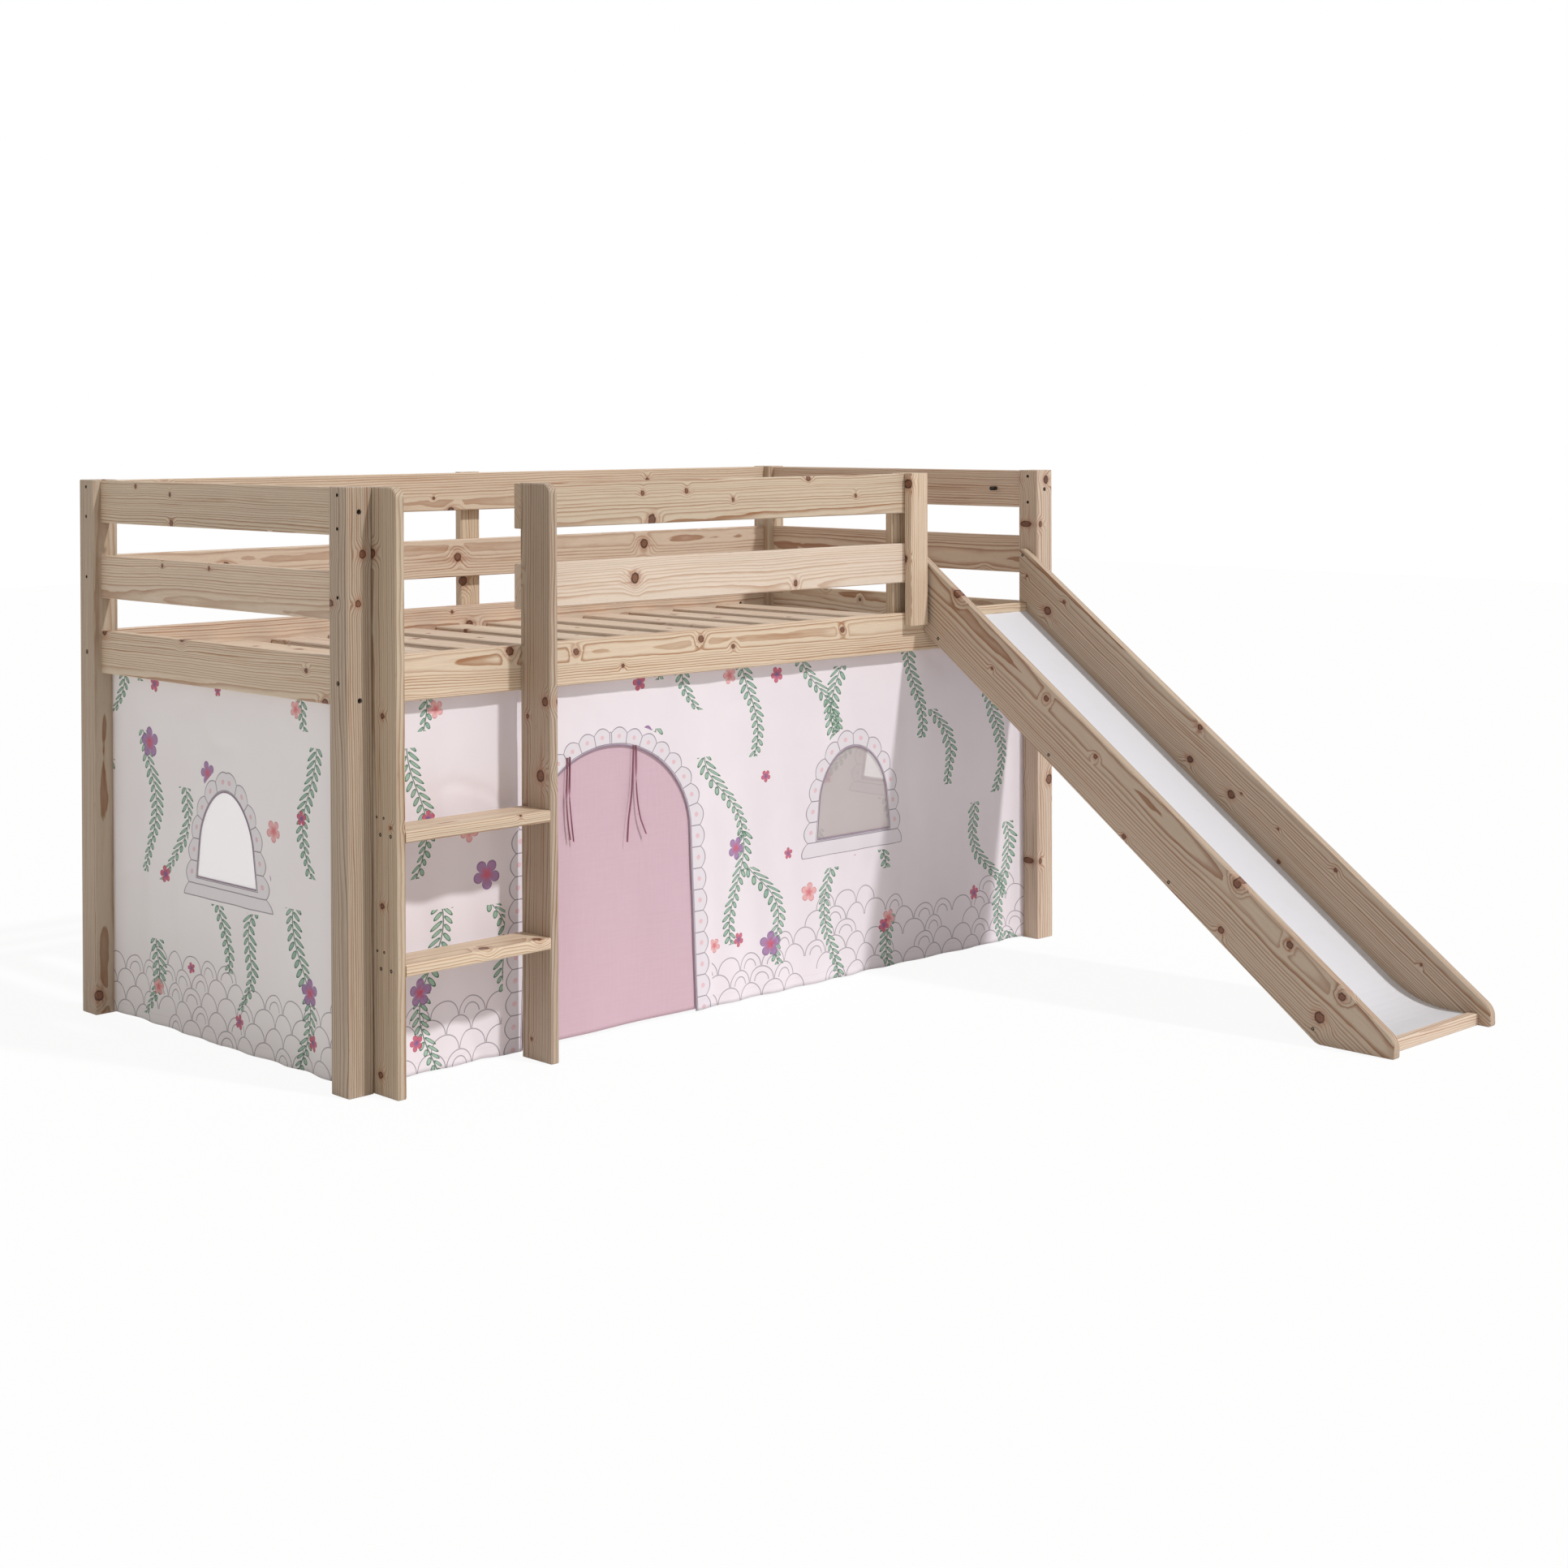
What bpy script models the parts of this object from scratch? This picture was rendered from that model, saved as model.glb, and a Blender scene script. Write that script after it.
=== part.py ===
# Pine mid-sleeper loft bed with ladder, slide and play-tent curtains.
# Metres, +Z up, the ladder and slide towards -Y. The origin is the middle of the footprint, on the floor.

import math

import bmesh
import bpy
from mathutils import Matrix, Vector

# Clearances shared by every joint
seat_gap = 0.0003
hole_clearance = 0.0006
cut_overrun = 0.004
merge_distance = 0.00001

# Bed frame
bed_length = 2.062
bed_width = 0.990
post_head = 0.0015
post_side = 0.058
post_round = 0.004
post_end_round = 0.0015
board_width = 0.090
board_thickness = 0.022
board_round = 0.002
bed_rail_centre = 0.7735
rail_pitch = 0.160

# Slats and the ledges that carry them
slat_count = 12
slat_pitch = 0.1527
slat_thickness = 0.016
slat_drop = 0.045
slat_end_gap = 0.002
ledge_height = 0.016
ledge_depth = 0.020

# Guard rails, their battens and the rear batten
batten_width = 0.057
batten_foot = 0.790
guard_start = 0.4278
guard_end_inset = 0.4567
inner_batten_inset = 0.530
inner_batten_foot = 0.7755

# Ladder
ladder_plank = 0.020
ladder_depth = 0.092
ladder_gap = 0.346
ladder_corner = 0.022
ladder_toe_round = 0.003
tread_count = 2
tread_pitch = 0.250
tread_thickness = 0.023
tread_round = 0.004

# Slide
slide_width = 0.390
slide_plank = 0.020
slide_plank_width = 0.137
slide_edge_round = 0.0015
slide_rise = 0.773
slide_reach = 1.244
slide_foot = 0.180
slide_foot_round = 0.030
slide_toe_round = 0.006
slide_nose_round = 0.035
slide_top_set_back = 0.009
slide_top_round = 0.003
panel_height = 0.021
panel_thickness = 0.005
panel_bend = 0.245
groove_depth = 0.005
crosspiece_thickness = 0.022
crosspiece_height = 0.025
crosspiece_set_back = 0.029
cleat_width = 0.045
cleat_thickness = 0.0155
cleat_count = 4
cleat_start = 0.055
cleat_pitch = 0.390

# Holes for the bolts, their barrel nuts and the rear rails' screws
bolt_head_radius = 0.0055
bolt_head_depth = 0.008
bolt_hole_radius = 0.0034
bolt_tail = 0.008
nut_hole_radius = 0.0054
nut_hole_depth = 0.017
nut_set_back = 0.088
low_bolt_drop = 0.0325
screw_hole_radius = 0.003
outer_screw_spread = 0.0315

# Dowels glued into the rails' ends
dowel_radius = 0.004
dowel_reach = 0.020
dowel_root = 0.010
dowel_spread = 0.025

# Tent
hem_height = 0.003
cloth_thickness = 0.003
tape_thickness = 0.0015
tape_height = 0.011
tape_round = 0.0004
curtain_side_gap = 0.002
front_fold_depth = 0.006
side_fold_depth = 0.005
fold_pitch = 0.125
calm_margin = 0.030
calm_ramp = 0.060
door_centre = 0.680
door_half_width = 0.230
door_springing = 0.400
door_rise = 0.192
flap_overlap = 0.012
front_window_centre = 1.403
front_window_half_width = 0.111
front_window_foot = 0.326
front_window_springing = 0.411
side_window_centre = 0.485
side_window_half_width = 0.105
side_window_foot = 0.336
side_window_springing = 0.412
window_thickness = 0.0015
window_overlap = 0.010

# Ties: half the thickness, and the spacing of the points on their routes
tie_radius = 0.0025
tie_step = 0.012

# Counts of steps on round forms
post_round_steps = 3
board_round_steps = 1
tread_round_steps = 2
corner_steps = 5
bend_steps = 8
arch_steps = 20
unit_half = 0.5
hole_sides = 8
nut_hole_sides = 10
front_columns = 66
route_steps = 24
side_columns = 30

# Places worked out from the sizes
rail_inset = (post_side - board_thickness) / 2
rear_overhang = board_thickness + seat_gap - rail_inset
front_overhang = slide_reach - rail_inset
left = -bed_length / 2
right = bed_length / 2
front = front_overhang - (front_overhang + bed_width + rear_overhang) / 2
rear = front + bed_width
rail_low = bed_rail_centre - board_width / 2
rail_high = bed_rail_centre + board_width / 2
top_rail_centre = bed_rail_centre + 2 * rail_pitch
post_height = top_rail_centre + board_width / 2 + post_head
slat_high = rail_high - slat_drop
slat_low = slat_high - slat_thickness
ledge_high = slat_low - seat_gap
ledge_low = ledge_high - ledge_height
front_rail_face = front + rail_inset
front_rail_back = front_rail_face + board_thickness
rear_rail_back = rear - rail_inset
rear_rail_face = rear_rail_back - board_thickness
left_rail_face = left + rail_inset + board_thickness
right_rail_face = right - rail_inset - board_thickness
between_posts_x = (left + post_side + seat_gap, right - post_side - seat_gap)
between_posts_y = (front + post_side + seat_gap, rear - post_side - seat_gap)
slide_right = right - post_side - seat_gap
slide_left = slide_right - slide_width
ladder_left = left + post_side + seat_gap
ladder_right = ladder_left + 2 * ladder_plank + ladder_gap
ladder_back = front_rail_face - seat_gap
ladder_front = ladder_back - ladder_depth
curtain_top = ledge_low - seat_gap
cloth_face = front_rail_back + tape_thickness + 2 * seat_gap
cloth_back = cloth_face + cloth_thickness

middle = Vector((0, 0, 0))
along_x = Vector((1, 0, 0))
along_y = Vector((0, 1, 0))
along_z = Vector((0, 0, 1))
axis_x, axis_y, axis_z = range(3)


def clear_scene():
    """Removes whatever the file holds."""
    for item in list(bpy.data.objects):
        bpy.data.objects.remove(item, do_unlink=True)


def make_collection(name):
    """A collection linked to the scene."""
    collection = bpy.data.collections.new(name)
    bpy.context.scene.collection.children.link(collection)
    return collection


def make_material(name, colour, roughness, metallic=0.0):
    """A Principled BSDF of one colour."""
    material = bpy.data.materials.new(name)
    material.use_nodes = True
    shader = material.node_tree.nodes["Principled BSDF"]
    shader.inputs["Base Color"].default_value = (*colour, 1.0)
    shader.inputs["Roughness"].default_value = roughness
    shader.inputs["Metallic"].default_value = metallic
    return material


clear_scene()
parts = make_collection("loft_bed_with_slide")
cutters = make_collection("cutters")

pine = make_material("pine", (0.66, 0.48, 0.31), 0.55)
slat_pine = make_material("slat_pine", (0.70, 0.54, 0.38), 0.65)
white_board = make_material("white_board", (0.88, 0.89, 0.92), 0.30)
printed_cotton = make_material("printed_cotton", (0.86, 0.82, 0.83), 0.85)
sheer_net = make_material("sheer_net", (0.88, 0.87, 0.86), 0.80)
pink_cotton = make_material("pink_cotton", (0.80, 0.57, 0.62), 0.85)
hook_tape = make_material("hook_tape", (0.90, 0.90, 0.90), 0.90)


def add_mesh_object(name, form, material, location=middle, collection=parts):
    """Turns a bmesh into a named object with its faces pointing out."""
    bmesh.ops.recalc_face_normals(form, faces=form.faces)
    mesh = bpy.data.meshes.new(name)
    form.to_mesh(mesh)
    form.free()
    piece = bpy.data.objects.new(name, mesh)
    piece.location = location
    collection.objects.link(piece)
    if material:
        mesh.materials.append(material)
    return piece


def end_edges(form, grain):
    """The edges that lie whole in one end of a plank."""
    reach = max(vert.co[grain] for vert in form.verts)
    ends = {vert for vert in form.verts if reach - abs(vert.co[grain]) < merge_distance}
    crosswise = [edge for edge in form.edges if set(edge.verts) <= ends]
    return [edge for edge in crosswise if edge.verts[0].co[grain] * edge.verts[1].co[grain] > 0]


def board(name, spans, grain, material=pine, rounding=board_round, steps=board_round_steps, end_round=0):
    """A plank that fills three spans, with its long edges rounded and its ends eased if asked."""
    low, high = (Vector(corner) for corner in zip(*spans))
    form = bmesh.new()
    bmesh.ops.create_cube(form, size=1)
    long_edges = [edge for edge in form.edges if edge.verts[0].co[grain] != edge.verts[1].co[grain]]
    bmesh.ops.scale(form, vec=high - low, verts=form.verts)
    bmesh.ops.bevel(
        form, geom=long_edges, offset=rounding, segments=steps, profile=0.5, affect="EDGES",
        clamp_overlap=True,
    )
    if end_round:
        bmesh.ops.bevel(form, geom=end_edges(form, grain), offset=end_round, segments=1, affect="EDGES")
    return add_mesh_object(name, form, material, (low + high) / 2)


def span(start, length):
    """The span from a start over a length."""
    return (start, start + length)


def rounded_outline(corners):
    """Points of an outline whose corners are (across, up, radius)."""
    points = []
    for index, (across, up, radius) in enumerate(corners):
        here = Vector((across, up))
        if not radius:
            points.append(here)
            continue
        before = (Vector(corners[index - 1][:2]) - here).normalized()
        after = (Vector(corners[(index + 1) % len(corners)][:2]) - here).normalized()
        half = before.angle(after) / 2
        centre = here + (before + after).normalized() * radius / math.sin(half)
        first = here + before * radius / math.tan(half) - centre
        last = here + after * radius / math.tan(half) - centre
        for step in range(corner_steps + 1):
            spoke = first.lerp(last, step / corner_steps).normalized() * radius
            points.append(centre + spoke)
    return points


def flat_piece(name, outline, thickness, easing, place, material, collection=parts):
    """A piece cut to an outline from sheet or plank, as a mesh with its edges eased."""
    curve = bpy.data.curves.new(name, "CURVE")
    curve.dimensions = "2D"
    curve.fill_mode = "BOTH"
    curve.extrude = thickness / 2 - easing
    curve.bevel_depth = easing
    curve.bevel_resolution = 0
    curve.offset = -easing
    spline = curve.splines.new("POLY")
    spline.points.add(len(outline) - 1)
    spline.use_cyclic_u = True
    for point, (across, up) in zip(spline.points, outline):
        point.co = (across, up, 0, 1)
    source = bpy.data.objects.new(name, curve)
    parts.objects.link(source)
    mesh = bpy.data.meshes.new_from_object(source.evaluated_get(bpy.context.evaluated_depsgraph_get()))
    bpy.data.objects.remove(source, do_unlink=True)
    form = bmesh.new()
    form.from_mesh(mesh)
    bpy.data.meshes.remove(mesh)
    bmesh.ops.remove_doubles(form, verts=form.verts, dist=merge_distance)
    piece = add_mesh_object(name, form, material, collection=collection)
    piece.matrix_world = place
    return piece


def turned(profile, base, direction, sides, square=True):
    """A turned solid as a mesh: profile pairs are (radius, distance); square sets flats along the axes."""
    form = bmesh.new()
    points = [form.verts.new((radius, 0, distance)) for radius, distance in profile]
    edges = [form.edges.new(pair) for pair in zip(points, points[1:])]
    bmesh.ops.spin(
        form, geom=points + edges, cent=middle, axis=along_z, angle=math.tau, steps=sides, use_merge=True
    )
    bmesh.ops.remove_doubles(form, verts=form.verts, dist=merge_distance)
    bmesh.ops.recalc_face_normals(form, faces=form.faces)
    turn = along_z.rotation_difference(direction).to_matrix().to_4x4()
    if square:
        turn = turn @ Matrix.Rotation(math.pi / sides, 4, along_z)
    bmesh.ops.transform(form, matrix=Matrix.Translation(base) @ turn, verts=form.verts)
    mesh = bpy.data.meshes.new("turned")
    form.to_mesh(mesh)
    form.free()
    return mesh


# Holes are gathered by the piece that is drilled, and dowels by the rail that carries them
holes = {}
cross_holes = {}
dowels = {}


def drill(name, steps, mouth, direction, sides=hole_sides, store=holes, square=True):
    """Drills a stepped round hole into a piece: each step is (radius, depth from the mouth)."""
    profile = [(0, -cut_overrun), (steps[0][0], -cut_overrun)]
    for (radius, depth), (next_radius, _) in zip(steps, [*steps[1:], (0, 0)]):
        profile += [(radius, depth), (next_radius, depth)]
    store.setdefault(name, []).append(turned(profile, mouth, direction, sides, square))


def drill_for_bolt(post, rail, mouth, direction, nut_side):
    """A counterbored hole through a post into its rail, and the cross hole of the barrel nut there."""
    nut_depth = post_side + nut_set_back
    steps = [(bolt_head_radius, bolt_head_depth), (bolt_hole_radius, nut_depth + bolt_tail)]
    drill(post, steps, mouth, direction, square=False)
    drill(rail, steps, mouth, direction)
    nut_mouth = mouth + direction * nut_depth + nut_side * board_thickness / 2
    drill(rail, [(nut_hole_radius, nut_hole_depth)], nut_mouth, -nut_side, nut_hole_sides, cross_holes)


def set_dowel(post, rail, joint, direction):
    """A dowel glued into a rail's end, and its hole in the post that the end meets at joint."""
    length = dowel_root + dowel_reach
    profile = [(0, 0), (dowel_radius, 0), (dowel_radius, length), (0, length)]
    root = joint + direction * dowel_root
    dowels.setdefault(rail, []).append(turned(profile, root, -direction, hole_sides))
    hole = (dowel_radius + hole_clearance, dowel_reach + hole_clearance)
    drill(post, [hole], joint, -direction, square=False)


def join_meshes(meshes):
    """One bmesh of several meshes, each still a body of its own."""
    form = bmesh.new()
    for mesh in meshes:
        form.from_mesh(mesh)
        bpy.data.meshes.remove(mesh)
    return form


def combine(piece, tool, operation):
    """Joins a tool object to a piece, or cuts it out, with a Boolean modifier."""
    tool.hide_render = True
    tool.display_type = "WIRE"
    change = piece.modifiers.new(tool.name, "BOOLEAN")
    change.operation = operation
    change.solver = "EXACT"
    change.object = tool


def make_dowels_and_holes():
    """Joins each rail's dowels to it, then drills every piece, the barrel nuts' cross holes last."""
    steps = (
        ("dowels_of_", dowels, "UNION"),
        ("holes_in_", holes, "DIFFERENCE"),
        ("cross_holes_in_", cross_holes, "DIFFERENCE"),
    )
    for prefix, tools, operation in steps:
        for name, meshes in tools.items():
            tool = add_mesh_object(prefix + name, join_meshes(meshes), None, collection=cutters)
            combine(bpy.data.objects[name], tool, operation)


# Frame
post_columns = {"left": span(left, post_side), "right": span(right - post_side, post_side)}
post_rows = {"front": span(front, post_side), "rear": span(rear - post_side, post_side)}
end_rail_rows = {
    "left": span(left + rail_inset, board_thickness),
    "right": span(right - rail_inset - board_thickness, board_thickness),
}
rail_levels = {
    "bed": bed_rail_centre,
    "middle": bed_rail_centre + rail_pitch,
    "top": top_rail_centre,
}
inward = {"left": along_x, "right": -along_x, "front": along_y, "rear": -along_y}
outer_x = {"left": left, "right": right}
outer_y = {"front": front, "rear": rear}
end_dowel_shifts = {
    "bed": (dowel_spread,),
    "middle": (-dowel_spread, dowel_spread),
    "top": (-dowel_spread, dowel_spread),
}


def level_span(level):
    """The height span of a rail at a named level."""
    return span(rail_levels[level] - board_width / 2, board_width)


def post_centre(side, row):
    """The middle of a post, seen from above."""
    return sum(post_columns[side]) / 2, sum(post_rows[row]) / 2


def make_posts():
    """Four posts, all drilled alike, so that the front ones keep holes for rails they don't carry."""
    for row, y_span in post_rows.items():
        for side, x_span in post_columns.items():
            name = f"post_{row}_{side}"
            spans = (x_span, y_span, (0, post_height))
            board(name, spans, axis_z, pine, post_round, post_round_steps, post_end_round)


def drill_screw_holes():
    """Screw holes through every post: two for the top rear rail and one for the middle one."""
    top = rail_levels["top"]
    for side in post_columns:
        for row in post_rows:
            for height in (top + outer_screw_spread, top - outer_screw_spread, rail_levels["middle"]):
                mouth = Vector((outer_x[side], post_centre(side, row)[1], height))
                steps = [(screw_hole_radius, post_side + cut_overrun)]
                drill(f"post_{row}_{side}", steps, mouth, inward[side], square=False)


def make_end_frames():
    """Three rails at each end, all dowelled, with bolts in the top and the bed rail."""
    for side, x_span in end_rail_rows.items():
        for level in rail_levels:
            name = f"{side}_{level}_rail"
            board(name, (x_span, between_posts_y, level_span(level)), axis_y)
        for row in post_rows:
            centre_x = post_centre(side, row)[0]
            post = f"post_{row}_{side}"
            top_mouth = Vector((centre_x, outer_y[row], rail_levels["top"]))
            low_mouth = Vector((centre_x, outer_y[row], bed_rail_centre - low_bolt_drop))
            drill_for_bolt(post, f"{side}_top_rail", top_mouth, inward[row], inward[side])
            drill_for_bolt(post, f"{side}_bed_rail", low_mouth, inward[row], inward[side])
            joint_y = outer_y[row] + inward[row].y * post_side
            for level, shifts in end_dowel_shifts.items():
                for shift in shifts:
                    joint = Vector((centre_x, joint_y, rail_levels[level] + shift))
                    set_dowel(post, f"{side}_{level}_rail", joint, inward[row])


def make_long_rails():
    """The two bed rails that carry the slats, and the two rear guard rails."""
    front_row = span(front_rail_face, board_thickness)
    rear_row = span(rear_rail_face, board_thickness)
    board("front_bed_rail", (between_posts_x, front_row, level_span("bed")), axis_x)
    board("rear_bed_rail", (between_posts_x, rear_row, level_span("bed")), axis_x)
    board("rear_middle_rail", (between_posts_x, rear_row, level_span("middle")), axis_x)
    board("rear_top_rail", (between_posts_x, rear_row, level_span("top")), axis_x)
    for side in post_columns:
        for row in post_rows:
            mouth = Vector((outer_x[side], post_centre(side, row)[1], bed_rail_centre))
            post = f"post_{row}_{side}"
            rail = f"{row}_bed_rail"
            drill_for_bolt(post, rail, mouth, inward[side], inward[row])
            for shift in (-dowel_spread, dowel_spread):
                joint = mouth + inward[side] * post_side + along_z * shift
                set_dowel(post, rail, joint, inward[side])


def make_slat_base():
    """Ledges inside the bed rails, and the slats that lie on them."""
    ledge_rows = {
        "front": span(front_rail_back + seat_gap, ledge_depth),
        "rear": span(rear_rail_face - seat_gap - ledge_depth, ledge_depth),
    }
    for row, y_span in ledge_rows.items():
        board(f"slat_ledge_{row}", (between_posts_x, y_span, span(ledge_low, ledge_height)), axis_x)
    y_span = (front_rail_back + slat_end_gap, rear_rail_face - slat_end_gap)
    first = -slat_pitch * (slat_count - 1) / 2 - board_width / 2
    for index in range(slat_count):
        x_span = span(first + index * slat_pitch, board_width)
        board(f"slat_{index + 1:02d}", (x_span, y_span, (slat_low, slat_high)), axis_y, slat_pine)


def make_guards():
    """Front guard rails between two battens on the right, and the batten that ties the rear rails."""
    row = span(front_rail_face, board_thickness)
    guard_end = right - guard_end_inset
    outer_x_span = (guard_end - batten_width, guard_end)
    outer_row = (front_rail_face - seat_gap - board_thickness, front_rail_face - seat_gap)
    inner_row = span(front_rail_back + seat_gap, board_thickness)
    inner_x_span = span(right - inner_batten_inset, board_width)
    for level in ("middle", "top"):
        spans = ((left + guard_start, guard_end), row, level_span(level))
        board(f"front_guard_rail_{level}", spans, axis_x)
    board("guard_batten_outer", (outer_x_span, outer_row, (batten_foot, post_height)), axis_z)
    board("guard_batten_inner", (inner_x_span, inner_row, (inner_batten_foot, post_height)), axis_z)
    rear_row = span(rear_rail_back + seat_gap, board_thickness)
    rear_span = (-batten_width / 2, batten_width / 2)
    board("rear_batten", (rear_span, rear_row, (batten_foot, post_height)), axis_z)


def make_ladder():
    """Two planks on edge with a rounded top corner, and the full-depth treads between them."""
    side_view = Matrix(((0, 0, -1, 0), (-1, 0, 0, 0), (0, 1, 0, 0), (0, 0, 0, 1)))
    corners = [
        (0, 0, 0),
        (ladder_depth, 0, ladder_toe_round),
        (ladder_depth, post_height, ladder_corner),
        (0, post_height, 0),
    ]
    outer_faces = {"left": ladder_left, "right": ladder_right}
    into = {"left": along_x, "right": -along_x}
    for side, face in outer_faces.items():
        centre = Vector((face, ladder_back, 0)) + into[side] * ladder_plank / 2
        place = Matrix.Translation(centre) @ side_view
        flat_piece(f"ladder_side_{side}", rounded_outline(corners), ladder_plank, board_round, place, pine)
    inner_span = (ladder_left + ladder_plank + seat_gap, ladder_right - ladder_plank - seat_gap)
    for number in range(1, tread_count + 1):
        top = tread_pitch * number
        spans = (inner_span, (ladder_front, ladder_back), (top - tread_thickness, top))
        board(f"ladder_tread_{number}", spans, axis_x, pine, tread_round, tread_round_steps)


# Slide, drawn in a plane whose first axis runs forward from the front bed rail
slide_slope = slide_rise / (slide_reach - slide_foot)
slide_angle = math.atan(slide_slope)
slide_side_view = Matrix(((0, 0, -1, 0), (-1, 0, 0, front_rail_face), (0, 1, 0, 0), (0, 0, 0, 1)))
crosspiece_front = slide_reach - crosspiece_set_back
crosspiece_back = crosspiece_front - crosspiece_thickness


def slide_height(forward, offset):
    """Height of a line parallel to the planks' lower edge, lifted square to it by offset."""
    return slide_rise + offset / math.cos(slide_angle) - slide_slope * forward


def slide_forward(height, offset):
    """How far forward such a line is at a height."""
    return (slide_rise + offset / math.cos(slide_angle) - height) / slide_slope


def slide_place(across):
    """Places a side view at one width of the bed."""
    return Matrix.Translation((across, 0, 0)) @ slide_side_view


def make_slide_sides():
    """Two planks: plumb and notched over the bed rail at the top, flat-footed with a round nose below."""
    hook = -board_thickness
    top_forward = -slide_top_set_back
    top_height = slide_height(top_forward, slide_plank_width)
    notch = rail_high + seat_gap
    corners = [
        (seat_gap, slide_height(seat_gap, 0), 0),
        (slide_forward(0, 0), 0, slide_foot_round),
        (slide_reach, 0, slide_toe_round),
        (slide_reach, slide_height(slide_reach, slide_plank_width), slide_nose_round),
        (top_forward, top_height, slide_top_round),
        (hook, top_height, slide_top_round),
        (hook, notch, 0),
        (seat_gap, notch, 0),
    ]
    centres = {"left": slide_left + slide_plank / 2, "right": slide_right - slide_plank / 2}
    outline = rounded_outline(corners)
    for side, across in centres.items():
        name = f"slide_side_{side}"
        plank = flat_piece(name, outline, slide_plank, slide_edge_round, slide_place(across), pine)
        groove_mouth = slide_left + slide_plank if side == "left" else slide_right - slide_plank
        groove = flat_piece(
            f"groove_in_{name}",
            panel_outline(seat_gap, -board_thickness, crosspiece_back),
            2 * groove_depth,
            0,
            slide_place(groove_mouth),
            None,
            cutters,
        )
        combine(plank, groove, "DIFFERENCE")


def panel_outline(margin, start, end):
    """The bent sheet seen from the side: down the slope, round the bend and level to the crosspiece."""
    upper = []
    lower = []
    top = panel_height + margin
    under = panel_height - panel_thickness - margin
    inner_bend = panel_bend - margin
    outer_bend = panel_bend + panel_thickness + margin
    for offset, line, radius in ((top, upper, inner_bend), (under, lower, outer_bend)):
        bend_at = slide_forward(offset, offset)
        run_in = radius * math.tan(slide_angle / 2)
        line.append((start, slide_height(start, offset)))
        centre = (bend_at + run_in, offset + radius)
        for step in range(bend_steps + 1):
            angle = slide_angle * (1 - step / bend_steps)
            line.append((centre[0] - radius * math.sin(angle), centre[1] - radius * math.cos(angle)))
        line.append((end, offset))
    return upper + lower[::-1]


def make_slide_bed():
    """The bent white sheet in its grooves, the cleats under it and the crosspiece at the foot."""
    inner_span = (slide_left + slide_plank + seat_gap, slide_right - slide_plank - seat_gap)
    middle_x = (slide_left + slide_right) / 2
    sheet_width = slide_width - 2 * slide_plank + 2 * groove_depth - 2 * seat_gap
    outline = panel_outline(0, seat_gap, crosspiece_back - seat_gap)
    flat_piece("slide_panel", outline, sheet_width, 0, slide_place(middle_x), white_board)
    y_span = (front_rail_face - crosspiece_front, front_rail_face - crosspiece_back)
    board("slide_crosspiece", (inner_span, y_span, (0, crosspiece_height)), axis_x)
    make_cleats(inner_span)


def make_cleats(inner_span):
    """The cleats that lie across under the sheet, square to the slope."""
    cleat_middle = panel_height - panel_thickness - seat_gap - cleat_thickness / 2
    size = Vector((inner_span[1] - inner_span[0], cleat_width, cleat_thickness))
    slope = Matrix.Rotation(slide_angle, 4, "X")
    for index in range(cleat_count):
        form = bmesh.new()
        bmesh.ops.create_cube(form, size=1)
        bmesh.ops.scale(form, vec=size, verts=form.verts)
        cleat = add_mesh_object(f"slide_cleat_{index + 1}", form, pine)
        forward = (cleat_start + index * cleat_pitch) * math.cos(slide_angle)
        place = (sum(inner_span) / 2, front_rail_face - forward, slide_height(forward, cleat_middle))
        cleat.matrix_world = Matrix.Translation(place) @ slope


# Tent, hung from hook tape under the slat ledges
def arch_outline(centre, half_width, foot, springing, rise):
    """A doorway outline: two straight sides under half an ellipse."""
    outline = [(centre - half_width, foot), (centre + half_width, foot)]
    for step in range(arch_steps + 1):
        angle = math.pi * step / arch_steps
        outline.append((centre + half_width * math.cos(angle), springing + rise * math.sin(angle)))
    return outline


def calm(place, still_spans):
    """Zero across a still span and one away from it, with a smooth ramp between."""
    factor = 1.0
    for low, high in still_spans:
        distance = max(low - calm_margin - place, place - high - calm_margin, 0)
        share = min(distance / calm_ramp, 1.0)
        factor *= share * share * (3 - 2 * share)
    return factor


def hang_curtain(name, width, columns, fold_depth, still_spans, place):
    """A flat-topped curtain whose folds deepen towards the hem, ruled straight from top to hem."""
    form = bmesh.new()
    levels = (hem_height, rail_low, curtain_top)
    rows = len(levels) - 1
    bmesh.ops.create_grid(form, x_segments=columns, y_segments=rows, size=unit_half)
    folds = max(round(width / fold_pitch), 1)
    for vert in form.verts:
        row = round((vert.co.y + unit_half) * rows)
        along = (vert.co.x + unit_half) * width
        swing = math.sin(math.tau * folds * along / width) * fold_depth * calm(along, still_spans)
        out = swing if row == 0 else 0
        vert.co = (along, out, levels[row])
    curtain = add_mesh_object(name, form, printed_cotton)
    if curtain.data.polygons[0].normal.y > 0:
        curtain.data.flip_normals()
    curtain.matrix_world = place
    shell = curtain.modifiers.new("cloth", "SOLIDIFY")
    shell.thickness = cloth_thickness
    shell.offset = -1
    return curtain


def cut_arch(curtain, name, outline, place):
    """Cuts an arched opening through a curtain."""
    depth = 2 * (cloth_thickness + front_fold_depth)
    cutter = flat_piece(name, outline, depth, 0, place, None, cutters)
    combine(curtain, cutter, "DIFFERENCE")


def upright_place(across, depth, height=0):
    """Stands an outline drawn in its own plane up in the plane of the front curtain."""
    return Matrix.Translation((across, depth, height)) @ Matrix.Rotation(math.pi / 2, 4, "X")


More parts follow.
